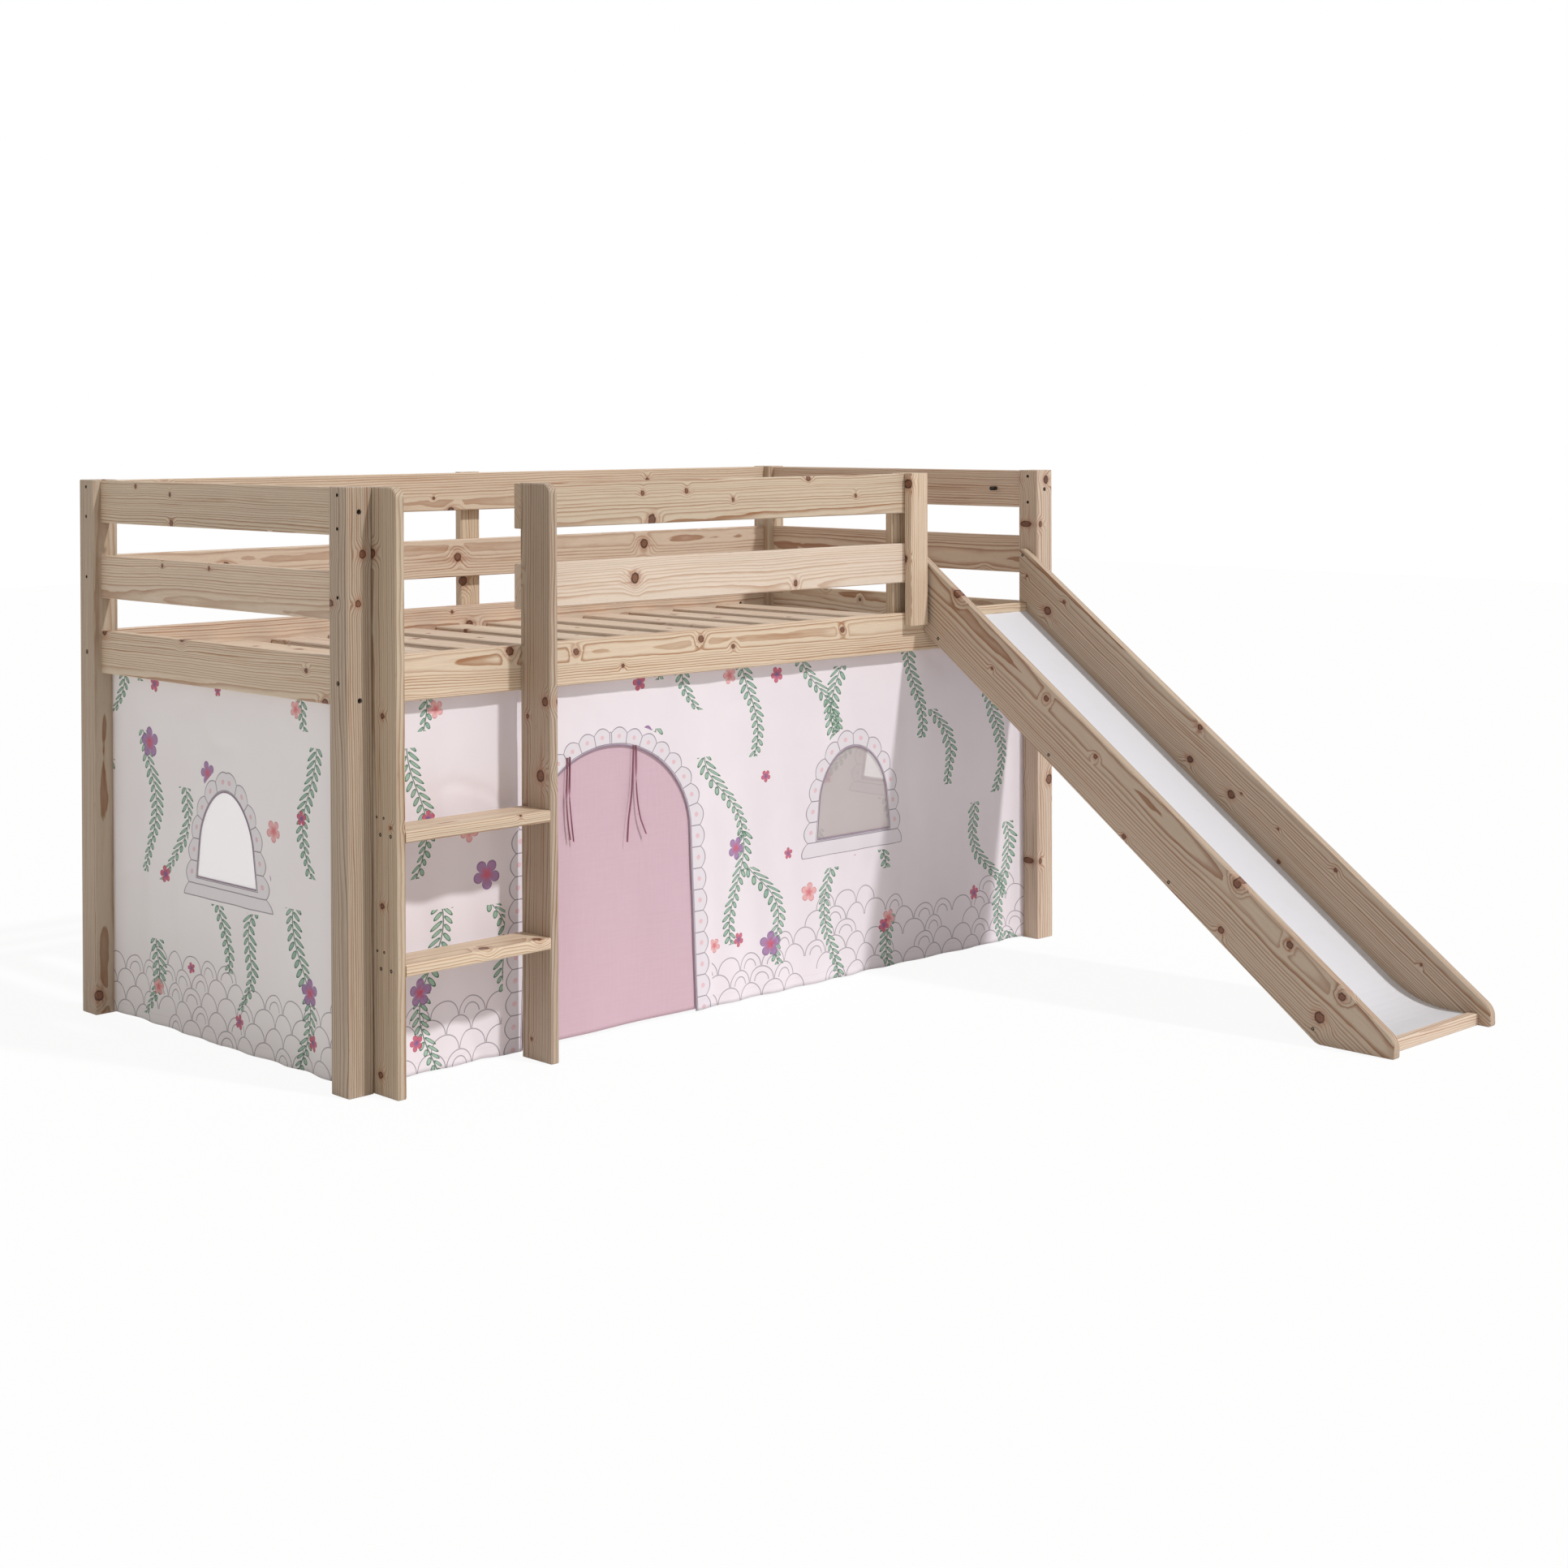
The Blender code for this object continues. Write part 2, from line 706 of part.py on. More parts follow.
def make_front_curtain():
    """The long curtain with its door and window, the window's net, and the door cloth in two pieces."""
    start = between_posts_x[0] + curtain_side_gap
    width = between_posts_x[1] - curtain_side_gap - start
    offset = left - start
    door = door_centre + offset
    window = front_window_centre + offset
    still = [
        (door - door_half_width, door + door_half_width),
        (window - front_window_half_width, window + front_window_half_width),
    ]
    place = Matrix.Translation((start, cloth_face, 0))
    curtain = hang_curtain("curtain_front", width, front_columns, front_fold_depth, still, place)
    centre_y = cloth_face + cloth_thickness / 2
    door_cut = arch_outline(door, door_half_width, -cut_overrun, door_springing, door_rise)
    cut_arch(curtain, "front_door_cut", door_cut, upright_place(start, centre_y))
    window_cut = arch_outline(
        window, front_window_half_width, front_window_foot, front_window_springing, front_window_half_width
    )
    cut_arch(curtain, "front_window_cut", window_cut, upright_place(start, centre_y))
    net = arch_outline(
        window,
        front_window_half_width + window_overlap,
        front_window_foot - window_overlap,
        front_window_springing,
        front_window_half_width + window_overlap,
    )
    net_y = cloth_back + seat_gap + window_thickness / 2
    flat_piece("window_net_front", net, window_thickness, 0, upright_place(start, net_y), sheer_net)
    make_door_cloth(left + door_centre)


def make_door_cloth(centre):
    """The door cloth: sewn behind the arch above its springing, and a free flap that swings in below it."""
    half = door_half_width + flap_overlap
    flap_y = cloth_back + seat_gap + cloth_thickness / 2
    head = arch_outline(0, half, seat_gap, 0, door_rise + flap_overlap)[2:]
    head_place = upright_place(centre, flap_y, door_springing)
    flat_piece("door_flap_head", head, cloth_thickness, 0, head_place, pink_cotton)
    hinge = bpy.data.objects.new("door_flap_hinge", None)
    hinge.location = (centre, cloth_back + seat_gap + cloth_thickness, door_springing)
    parts.objects.link(hinge)
    drop = door_springing - hem_height
    outline = [(-half, -drop), (half, -drop), (half, -seat_gap), (-half, -seat_gap)]
    place = upright_place(centre, flap_y, door_springing)
    flap = flat_piece("door_flap", outline, cloth_thickness, 0, place, pink_cotton)
    bpy.context.view_layer.update()
    flap.parent = hinge
    flap.matrix_parent_inverse = hinge.matrix_world.inverted()


def make_end_curtains():
    """The two end curtains, each with its arched window and net."""
    start = between_posts_y[0] + curtain_side_gap
    width = between_posts_y[1] - curtain_side_gap - start
    window = front + side_window_centre - start
    still = [(window - side_window_half_width, window + side_window_half_width)]
    half = side_window_half_width
    cut = arch_outline(window, half, side_window_foot, side_window_springing, half)
    net = arch_outline(
        window,
        side_window_half_width + window_overlap,
        side_window_foot - window_overlap,
        side_window_springing,
        side_window_half_width + window_overlap,
    )
    face = tape_thickness + 2 * seat_gap
    net_in = face + cloth_thickness + seat_gap + window_thickness / 2
    for side, rail_face in (("left", left_rail_face), ("right", right_rail_face)):
        way = inward[side].x
        turn = Matrix(((0, way, 0, 0), (1, 0, 0, start), (0, 0, 1, 0), (0, 0, 0, 1)))
        place = Matrix.Translation((rail_face + way * face, 0, 0)) @ turn
        curtain = hang_curtain(f"curtain_{side}", width, side_columns, side_fold_depth, still, place)
        sheet = Matrix(((0, 0, way, 0), (1, 0, 0, start), (0, 1, 0, 0), (0, 0, 0, 1)))
        middle_x = rail_face + way * (face + cloth_thickness / 2)
        cut_arch(curtain, f"{side}_window_cut", cut, Matrix.Translation((middle_x, 0, 0)) @ sheet)
        net_x = rail_face + way * net_in
        net_place = Matrix.Translation((net_x, 0, 0)) @ sheet
        flat_piece(f"window_net_{side}", net, window_thickness, 0, net_place, sheer_net)


def make_hook_tape():
    """The strips of hook tape that carry the curtains, on the inner faces of the rails."""
    low = rail_low + (curtain_top - rail_low - tape_height) / 2
    z_span = span(low, tape_height)
    x_span = (between_posts_x[0] + curtain_side_gap, between_posts_x[1] - curtain_side_gap)
    y_span = (between_posts_y[0] + curtain_side_gap, between_posts_y[1] - curtain_side_gap)
    strips = {
        "front": (x_span, span(front_rail_back + seat_gap, tape_thickness)),
        "left": (span(left_rail_face + seat_gap, tape_thickness), y_span),
        "right": (span(right_rail_face - seat_gap - tape_thickness, tape_thickness), y_span),
    }
    for side, (across, along) in strips.items():
        board(f"hook_tape_{side}", (across, along, z_span), axis_z, hook_tape, tape_round)


# Tie routes from the stitching on the arch to the free ends: from the bed's left, from its front, height
tie_routes = {
    "tie_left_a": [
        (0.5610, 0.0393, 0.5790),
        (0.5606, 0.0392, 0.5560),
        (0.5585, 0.0388, 0.5000),
        (0.5610, 0.0380, 0.4500),
        (0.5665, 0.0374, 0.4120),
    ],
    "tie_left_b": [
        (0.5680, 0.0393, 0.5800),
        (0.5674, 0.0392, 0.5600),
        (0.5660, 0.0386, 0.5000),
        (0.5700, 0.0376, 0.4500),
        (0.5750, 0.0370, 0.4070),
    ],
    "tie_right_a": [
        (0.7390, 0.0393, 0.5880),
        (0.7384, 0.0392, 0.5680),
        (0.7330, 0.0386, 0.4900),
        (0.7235, 0.0378, 0.4350),
        (0.7190, 0.0370, 0.3890),
    ],
    "tie_right_b": [
        (0.7460, 0.0393, 0.5875),
        (0.7458, 0.0392, 0.5680),
        (0.7462, 0.0384, 0.5000),
        (0.7540, 0.0376, 0.4420),
        (0.7710, 0.0368, 0.4000),
    ],
}


def smooth_points(route, step):
    """Evenly spaced points on a smooth curve through a route."""
    ends = [2 * route[0] - route[1], *route, 2 * route[-1] - route[-2]]
    fine = []
    for before, start, end, after in zip(ends, ends[1:], ends[2:], ends[3:]):
        for index in range(route_steps):
            share = index / route_steps
            fine.append(
                start
                + (end - before) * share / 2
                + (before * 2 - start * 5 + end * 4 - after) * share**2 / 2
                + (start * 3 - before - end * 3 + after) * share**3 / 2
            )
    fine.append(route[-1])
    lengths = [0.0]
    for first, second in zip(fine, fine[1:]):
        lengths.append(lengths[-1] + (second - first).length)
    count = max(round(lengths[-1] / step), 2)
    points = []
    cursor = 0
    for index in range(count + 1):
        target = lengths[-1] * index / count
        while cursor < len(fine) - 2 and lengths[cursor + 1] < target:
            cursor += 1
        share = (target - lengths[cursor]) / (lengths[cursor + 1] - lengths[cursor])
        points.append(fine[cursor].lerp(fine[cursor + 1], share))
    return points


def make_ties():
    """Four thin tapes stitched to the arch, hanging free in front of the door cloth."""
    for name, route in tie_routes.items():
        world = [Vector((left + across, front + depth, height)) for across, depth, height in route]
        curve = bpy.data.curves.new(name, "CURVE")
        curve.dimensions = "3D"
        curve.bevel_depth = tie_radius
        curve.bevel_resolution = 2
        curve.use_fill_caps = True
        spline = curve.splines.new("POLY")
        points = smooth_points(world, tie_step)
        spline.points.add(len(points) - 1)
        for point, place in zip(spline.points, points):
            point.co = (*place, 1)
        curve.materials.append(pink_cotton)
        parts.objects.link(bpy.data.objects.new(name, curve))


make_posts()
drill_screw_holes()
make_end_frames()
make_long_rails()
make_slat_base()
make_guards()
make_ladder()
make_slide_sides()
make_slide_bed()
make_front_curtain()
make_end_curtains()
make_hook_tape()
make_ties()
make_dowels_and_holes()
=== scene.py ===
import math
import random
from functools import reduce

import bmesh
import bpy
from mathutils import Matrix, Vector, noise


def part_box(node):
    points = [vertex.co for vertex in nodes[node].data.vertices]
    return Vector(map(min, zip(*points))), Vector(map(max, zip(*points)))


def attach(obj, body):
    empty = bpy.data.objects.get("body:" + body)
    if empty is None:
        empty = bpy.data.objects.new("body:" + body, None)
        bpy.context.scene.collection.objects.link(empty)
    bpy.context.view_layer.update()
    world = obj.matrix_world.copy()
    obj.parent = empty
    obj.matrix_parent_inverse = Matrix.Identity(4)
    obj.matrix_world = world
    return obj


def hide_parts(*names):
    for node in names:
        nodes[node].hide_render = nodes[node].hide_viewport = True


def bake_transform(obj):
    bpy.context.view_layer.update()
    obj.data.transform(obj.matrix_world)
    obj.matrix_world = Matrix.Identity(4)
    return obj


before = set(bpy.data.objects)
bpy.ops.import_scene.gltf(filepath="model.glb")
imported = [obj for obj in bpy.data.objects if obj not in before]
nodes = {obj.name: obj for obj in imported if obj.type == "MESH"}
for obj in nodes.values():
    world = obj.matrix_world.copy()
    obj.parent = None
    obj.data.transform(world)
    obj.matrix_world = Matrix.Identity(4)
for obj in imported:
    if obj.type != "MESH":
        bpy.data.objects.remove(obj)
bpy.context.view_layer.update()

# Axes and directions
axis_x = Vector((1, 0, 0))
axis_y = Vector((0, 1, 0))
axis_z = Vector((0, 0, 1))
slide_tilt = math.radians(36)
down_slide = Vector((0, -math.cos(slide_tilt), -math.sin(slide_tilt)))
off_slide = Vector((0, -math.sin(slide_tilt), math.cos(slide_tilt)))


def linear(red, green, blue):
    """A colour given as the eye sees it, from 0 to 255, as the linear colour that shaders take."""
    return tuple(((value / 255 + 0.055) / 1.055) ** 2.4 for value in (red, green, blue)) + (1,)


# Building materials by arithmetic
def feed(socket, value):
    """Links a signal to a socket, or sets the socket to a plain value."""
    if isinstance(value, Signal):
        socket.id_data.links.new(value.socket, socket)
    else:
        socket.default_value = value


def new_node(signal, kind, inputs, **settings):
    """The outputs of a new node in the signal's material, its inputs fed by name or number."""
    node = signal.socket.id_data.nodes.new(f"ShaderNode{kind}")
    for name, value in settings.items():
        setattr(node, name, value)
    for slot, value in inputs.items():
        feed(node.inputs[slot], value)
    return node.outputs


def arithmetic(operation):
    """A method that applies one operation to the signal and what it is given."""
    def work_out(self, *others):
        return self.math(operation, self, *others)
    return work_out


class Signal:
    """A value in a material. Arithmetic on it adds the nodes that work it out."""

    def __init__(self, socket):
        self.socket = socket

    def math(self, operation, *values):
        return Signal(new_node(self, "Math", dict(enumerate(values)), operation=operation)[0])

    def __rsub__(self, other):
        return self.math("SUBTRACT", other, self)

    __add__ = __radd__ = arithmetic("ADD")
    __sub__ = arithmetic("SUBTRACT")
    __mul__ = __rmul__ = arithmetic("MULTIPLY")
    __truediv__ = arithmetic("DIVIDE")
    __abs__ = arithmetic("ABSOLUTE")
    root = arithmetic("SQRT")
    floor = arithmetic("FLOOR")
    fraction = arithmetic("FRACT")
    sine = arithmetic("SINE")
    cosine = arithmetic("COSINE")
    angle = arithmetic("ARCTAN2")
    least = arithmetic("MINIMUM")
    most = arithmetic("MAXIMUM")
    below = arithmetic("LESS_THAN")
    above = arithmetic("GREATER_THAN")

    def step(self, low, high, start=0, end=1):
        """Rises smoothly from start at low to end at high."""
        inputs = dict(enumerate((self, low, high, start, end)))
        return Signal(new_node(self, "MapRange", inputs, interpolation_type="SMOOTHSTEP")[0])


def vector(x, y, z=0):
    first = next(value for value in (x, y, z) if isinstance(value, Signal))
    return Signal(new_node(first, "CombineXYZ", {0: x, 1: y, 2: z})[0])


def project(place, direction):
    outputs = new_node(place, "VectorMath", {0: place, 1: direction}, operation="DOT_PRODUCT")
    return Signal(outputs["Value"])


def separate(value, kind="XYZ"):
    """The three parts of a vector, or of a colour where the kind is Color."""
    return [Signal(socket) for socket in new_node(value, f"Separate{kind}", {0: value})]


def hypotenuse(x, y):
    return (x * x + y * y).root()


def grit(place, scale, detail=2, roughness=0.5):
    """Soft noise about 0, from -0.5 to 0.5."""
    inputs = {"Vector": place, "Scale": scale, "Detail": detail, "Roughness": roughness}
    return Signal(new_node(place, "TexNoise", inputs)[0]) - 0.5


def cloud(x, y, z, detail=2, roughness=0.5):
    """The same noise by three values, which say how it is stretched."""
    return grit(vector(x, y, z), 1, detail, roughness)


def chance(x, y, z):
    """Three random values for each place: a cell's numbers give the cell its own."""
    place = vector(x, y, z)
    outputs = new_node(place, "TexWhiteNoise", {"Vector": place}, noise_dimensions="3D")
    return separate(Signal(outputs["Color"]), "Color")


def cells_on(lattice, feature):
    """Uneven cells, about one for each unit square of a lattice in two directions."""
    inputs = {"Vector": lattice, "Scale": 1, "Randomness": 0.9}
    return new_node(lattice, "TexVoronoi", inputs, voronoi_dimensions="2D", feature=feature)


def between(first, second, share):
    """A plain colour on the way from the first to the second."""
    return tuple(low + (high - low) * share for low, high in zip(first, second))


def mix(factor, first, second):
    """The first colour where the factor is 0, the second where it is 1."""
    return Signal(new_node(factor, "Mix", {0: factor, 6: first, 7: second}, data_type="RGBA")[2])


def shade(colour, factor):
    """A colour made darker or lighter by a factor."""
    return Signal(new_node(factor, "VectorMath", {0: colour, "Scale": factor}, operation="SCALE")[0])


class Finish:
    """A new material with one shader, whose sockets take signals or plain values."""

    def __init__(self, name):
        self.material = bpy.data.materials.new(name)
        self.material.use_nodes = True
        self.tree = self.material.node_tree
        self.shader = self.tree.nodes["Principled BSDF"]

    def place(self):
        """The point on the piece."""
        return Signal(self.tree.nodes.new("ShaderNodeTexCoord").outputs["Object"])

    def cut_place(self):
        """The point's X and Z on the flat cloth."""
        node = self.tree.nodes.new("ShaderNodeUVMap")
        node.uv_map = "metres"
        return separate(Signal(node.outputs[0]))[:2]

    def set(self, **values):
        for name, value in values.items():
            feed(self.shader.inputs[name.replace("_", " ")], value)

    def relief(self, height, distance, strength):
        """Bump from a height signal of 0 to 1 that stands for a distance in metres."""
        inputs = {"Height": height, "Strength": strength, "Distance": distance}
        feed(self.shader.inputs["Normal"], Signal(new_node(height, "Bump", inputs)[0]))


# The frame's outer faces, and where the fasteners go
left, right = -1.031, 1.031
front, rear = 0.11585, 1.10585
post_side = 0.058
bolt_heights = (1.0935, 0.741)
bed_height = 0.7735
screw_heights = (1.125, 1.062, 0.9335)
bolt_drop = 0.0036
bolt_length = 0.142
outward = {"left": -axis_x, "right": axis_x, "front": -axis_y, "rear": axis_y}
post_x = {"left": left + post_side / 2, "right": right - post_side / 2}
post_y = {"front": front + post_side / 2, "rear": rear - post_side / 2}
faces = {"left": left, "right": right, "front": front, "rear": rear}

# Colours of pine, the painted shade in its screw holes, and the sizes of its knots and rings
early_wood = (linear(220, 199, 179), linear(217, 198, 173))
late_wood = (linear(160, 110, 82), linear(160, 115, 79))
pale_early_wood = linear(220, 205, 189)
pale_late_wood = linear(196, 168, 142)
fleck_brown = linear(146, 100, 72)
halo_brown = linear(170, 116, 88)
flare_brown = linear(156, 102, 76)
knot_heart = (linear(102, 64, 46), linear(144, 97, 72))
dead_knot = linear(92, 60, 44)
knot_rim = linear(68, 42, 31)
painted_hole_shade = linear(48, 34, 27)
knot_spacing_along = 0.155
knot_spacing_across = 0.085
smallest_knot = 0.0031
knot_range = 0.0066
ring_width = 0.0044
bore_edge = (0.0041, 0.0033)
wood_relief = 0.00035


# Pine: growth rings about a pith beside the board, knots that pierce it, and fine fibres
def pine(name, grain, across, pale=0.0, depth=1.0, knot_rate=0.58, rough=0.5):
    chooser = random.Random(name)
    low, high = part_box(name)
    centre = (low + high) / 2
    through = grain.cross(across)
    finish = Finish(f"pine_{name}")
    place = finish.place()
    along = project(place, grain) - grain.dot(centre)
    side = project(place, across) - across.dot(centre)
    deep = project(place, through) - through.dot(centre)
    seed = chooser.uniform(0, 40)

    # Knots, one in most cells of a lattice along the board, slanting through it
    slant = math.radians(chooser.uniform(15, 40) * chooser.choice((-1, 1)))
    knot_across = side * math.cos(slant) + deep * math.sin(slant)
    lattice_along = along / knot_spacing_along + seed
    lattice_across = knot_across / knot_spacing_across + seed * 1.7
    lattice = vector(lattice_along, lattice_across)
    cells = cells_on(lattice, "F1")
    from_border = Signal(cells_on(lattice, "DISTANCE_TO_EDGE")["Distance"])
    knot_x, knot_y, _ = separate(Signal(cells["Position"]))
    off_along = (lattice_along - knot_x) * knot_spacing_along
    off_across = (lattice_across - knot_y) * knot_spacing_across
    chance_here, size_here, tone_here = separate(Signal(cells["Color"]), "Color")
    present = chance_here.below(knot_rate) * from_border.step(0, 0.08)
    radius = smallest_knot + size_here * size_here * knot_range
    wobble = cloud(off_along * 110, off_across * 110, seed, 4, 0.65) * 0.0066
    distance = (off_along * off_along * 0.72 + off_across * off_across).root() + wobble
    nearness = distance / radius
    knot = present * nearness.step(1.15, 0.88)
    broken = cloud(off_along * 160, off_across * 160, seed + 3).step(-0.32, -0.02)
    rim = present * nearness.step(1.22, 1.0) * nearness.step(0.66, 0.9) * broken
    halo = present * nearness.step(2.6, 0.9)
    swirl = present * nearness.step(4.6, 0.4) * from_border.step(0, 0.42) * radius * 1.7
    beside = off_across * off_across / (radius * radius)
    torn = cloud(off_along * 34, off_across * 170, seed + 7, 3).step(-0.14, 0.20)
    flare = present * (abs(off_along) / radius).step(8.0, 0.7) * beside.step(2.4, 0.1) * torn

    # Rings
    pith_side = chooser.uniform(-0.070, 0.070)
    pith_deep = chooser.uniform(0.030, 0.070) * chooser.choice((-1, 1))
    taper = chooser.uniform(0.003, 0.009) * chooser.choice((-1, 1))
    drift = cloud(along * 1.3, side * 3, seed)
    other_drift = cloud(along * 1.1, deep * 3, seed + 9)
    from_pith_side = side - pith_side + drift * 0.022
    from_pith_deep = deep - pith_deep + other_drift * 0.022
    ripple = cloud(along * 7, side * 26, deep * 26 + seed, 3) * 0.0050
    ring_radius = hypotenuse(from_pith_side, from_pith_deep)
    phase = (ring_radius + along * taper + ripple + swirl) / ring_width
    phase = phase + cloud(ring_radius * 60, seed, 0, 1) * 2.2
    ring = phase.fraction()
    ring_chance = chance(phase.floor(), seed, 0)[0]
    late = ring.step(0.38, 0.93) * ring.step(1.0, 0.95) * (0.40 + ring_chance * 0.60)

    # Fibres, pores and tone, with the painted shade of the whole board
    fibre = cloud(along * 22, side * 620, deep * 620 + seed, 3, 0.62)
    streak = cloud(along * 3.2, side * 75, deep * 75 + seed, 3, 0.55)
    patch = cloud(along * 2.1, side * 9, deep * 9 + seed)
    # Painted shade: depth darkens the whole board for the shade it stands in; the small random part is the
    # board's own tone
    tone_and_painted_shade = depth * (1 + chooser.uniform(-0.04, 0.04))
    warm = chooser.uniform(0, 1)
    early = between(between(*early_wood, warm), pale_early_wood, pale)
    dark = between(between(*late_wood, warm), pale_late_wood, pale)
    colour = mix(late * 0.92 + streak.step(0.02, 0.26) * 0.34, early, dark)
    fleck = cloud(along * 70, side * 800, deep * 800 + seed, 1).step(0.17, 0.30)
    colour = mix(fleck * 0.34, colour, fleck_brown)
    colour = shade(colour, tone_and_painted_shade * (1 + patch * 0.20 + fibre * 0.26 + streak * 0.16))
    colour = mix(halo * 0.44, colour, halo_brown)
    colour = mix(flare * streak.step(-0.16, 0.20) * 0.60, colour, flare_brown)
    ring_lines = (nearness * 4.2 + wobble * 400).fraction().step(0.3, 0.8)
    heart = mix(ring_lines, *knot_heart)
    colour = mix(knot * 0.94, colour, mix(tone_here.step(0.72, 0.95), heart, dead_knot))
    colour = mix(rim * 0.90, colour, knot_rim)
    # Painted shade: on the posts, a dark disc round the axis of each screw hole stands for the shade inside
    # the hole
    if name.startswith("post_"):
        row = "front" if "front" in name else "rear"
        level = project(place, axis_z)
        off_level = reduce(Signal.least, [abs(level - height) for height in screw_heights])
        off_row = project(place, axis_y) - post_y[row]
        hole_shade = hypotenuse(off_level, off_row).step(*bore_edge)
        colour = mix(hole_shade * 0.94, colour, painted_hole_shade)
    height = 0.5 + fibre * 0.55 + streak * 0.25 - late * 0.22 - rim * 0.4
    finish.set(Base_Color=colour, Roughness=rough + late * -0.07 + fibre * 0.16, Specular_IOR_Level=0.32)
    finish.relief(height, wood_relief, 0.9)
    return finish.material


def dress(name, material):
    """Gives a node of the part its finish."""
    for slot in nodes[name].material_slots:
        slot.material = material


# Painted shade: how far each board's whole colour is darkened, where it isn't 1, for the shade its faces
# stand in
painted_shade_depths = {
    "post_front_left": 0.68, "post_rear_left": 0.70, "post_front_right": 0.88, "post_rear_right": 0.84,
    "ladder_side_left": 0.77, "ladder_side_right": 0.69, "left_top_rail": 0.90, "front_guard_rail_top": 0.88,
    "slide_side_left": 0.77, "slide_side_right": 0.77,
}
# How the boards' names start, the way their grain runs, the way across it, and what is particular
boards = (
    (("post_",), axis_z, axis_x, {}),
    (("left_", "right_"), axis_y, axis_z, {}),
    (("front_guard_rail_middle",), axis_x, axis_z, {"pale": 0.7}),
    (("rear_batten", "guard_batten"), axis_z, axis_x, {}),
    (("front_", "rear_"), axis_x, axis_z, {}),
    (("ladder_side",), axis_z, axis_y, {}),
    (("ladder_tread",), axis_x, axis_y, {}),
    (("slide_side",), down_slide, off_slide, {}),
    (("slide_crosspiece", "slide_cleat"), axis_x, down_slide, {"pale": 0.2, "knot_rate": 0.25}),
    (("slat_ledge",), axis_x, axis_z, {"pale": 0.3, "knot_rate": 0.3}),
    (("slat_",), axis_y, axis_x, {"pale": 0.45, "rough": 0.62}),
)
for name in nodes:
    for starts, grain, across, look in boards:
        if name.startswith(starts):
            dress(name, pine(name, grain, across, depth=painted_shade_depths.get(name, 1.0), **look))
            break


def white_board():
    """Smooth white board, a little worn and dusty down its length."""
    finish = Finish("white_board")
    place = finish.place()
    along = project(place, down_slide)
    side = project(place, axis_x)
    scuff = cloud(along * 5, side * 95, 0, 4, 0.6)
    dust = grit(place, 14, 4, 0.6)
    grain = grit(place, 420, 2)
    worn = scuff.step(0.10, 0.30) * dust.step(-0.1, 0.2)
    dulled = worn * 0.35 + dust.step(-0.05, 0.3) * 0.12
    colour = mix(dulled, linear(222, 223, 228), linear(202, 200, 199))
    finish.set(Base_Color=colour, Roughness=0.36 + worn * 0.2 + dust * 0.12 + grain * 0.06)
    finish.relief(0.5 + grain * 0.5 + scuff * 0.2, 0.0001, 0.5)
    return finish.material


dress("slide_panel", white_board())


def black_steel():
    """Blackened steel of bolts, nuts and screws."""
    finish = Finish("black_steel")
    place = finish.place()
    stain = grit(place, 900, 3, 0.6)
    brushed = grit(place, 2600, 2)
    finish.set(Base_Color=mix(stain.step(-0.2, 0.3), linear(46, 42, 40), linear(70, 66, 62)))
    finish.set(Metallic=0.7, Roughness=0.52 + stain * 0.3 + brushed * 0.1)
    finish.relief(0.5 + brushed * 0.5, 0.00005, 0.6)
    return finish.material


steel = black_steel()


# Pieces
def add_object(name, data):
    """A new object in the scene."""
    item = bpy.data.objects.new(name, data)
    bpy.context.scene.collection.objects.link(item)
    return item


def add_form(name, form):
    """A new object with a form as its mesh."""
    mesh = bpy.data.meshes.new(name)
    form.to_mesh(mesh)
    form.free()
    return add_object(name, mesh)


def add_piece(name, form, material, body="bed", smooth=True):
    piece = add_form(name, form)
    piece.data.materials.append(material)
    for polygon in piece.data.polygons:
        polygon.use_smooth = smooth
    if body:
        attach(piece, body)
    return piece


def spin(form, profile, sides, place):
    """Turns a profile of (radius, distance) pairs about the local Z axis and sets it in place.
    It returns the points that this makes."""
    before = set(form.verts)
    points = [form.verts.new((radius, 0, distance)) for radius, distance in profile]
    edges = [form.edges.new(pair) for pair in zip(points, points[1:])]
    bmesh.ops.spin(
        form, geom=points + edges, cent=(0, 0, 0), axis=axis_z, angle=math.tau, steps=sides, use_merge=True
    )
    new = [vert for vert in form.verts if vert not in before]
    bmesh.ops.remove_doubles(form, verts=new, dist=0.000001)
    new = [vert for vert in form.verts if vert not in before]
    bmesh.ops.transform(form, matrix=place, verts=new)
    return new


def aim(position, direction):
    """A matrix at a position whose Z axis points in a direction."""
    return Matrix.Translation(position) @ axis_z.rotation_difference(direction).to_matrix().to_4x4()


def loft(form, rings, closed=False):
    """Joins rings of points, one after another. A run that isn't closed gets a cap at each end."""
    count = len(rings[0])
    for first, second in zip(rings, rings[1:] + rings[:1] if closed else rings[1:]):
        for index in range(count):
            following = (index + 1) % count
            form.faces.new((first[index], first[following], second[following], second[index]))
    if not closed:
        form.faces.new(rings[0])
        form.faces.new(rings[-1])
    bmesh.ops.recalc_face_normals(form, faces=form.faces)


head_radius = 0.0051
head_height = 0.0042
socket_radius = 0.0026
socket_depth = 0.0026
bolt_radius = 0.0030
bolt_tip = 0.0008
head_edge = 0.0006


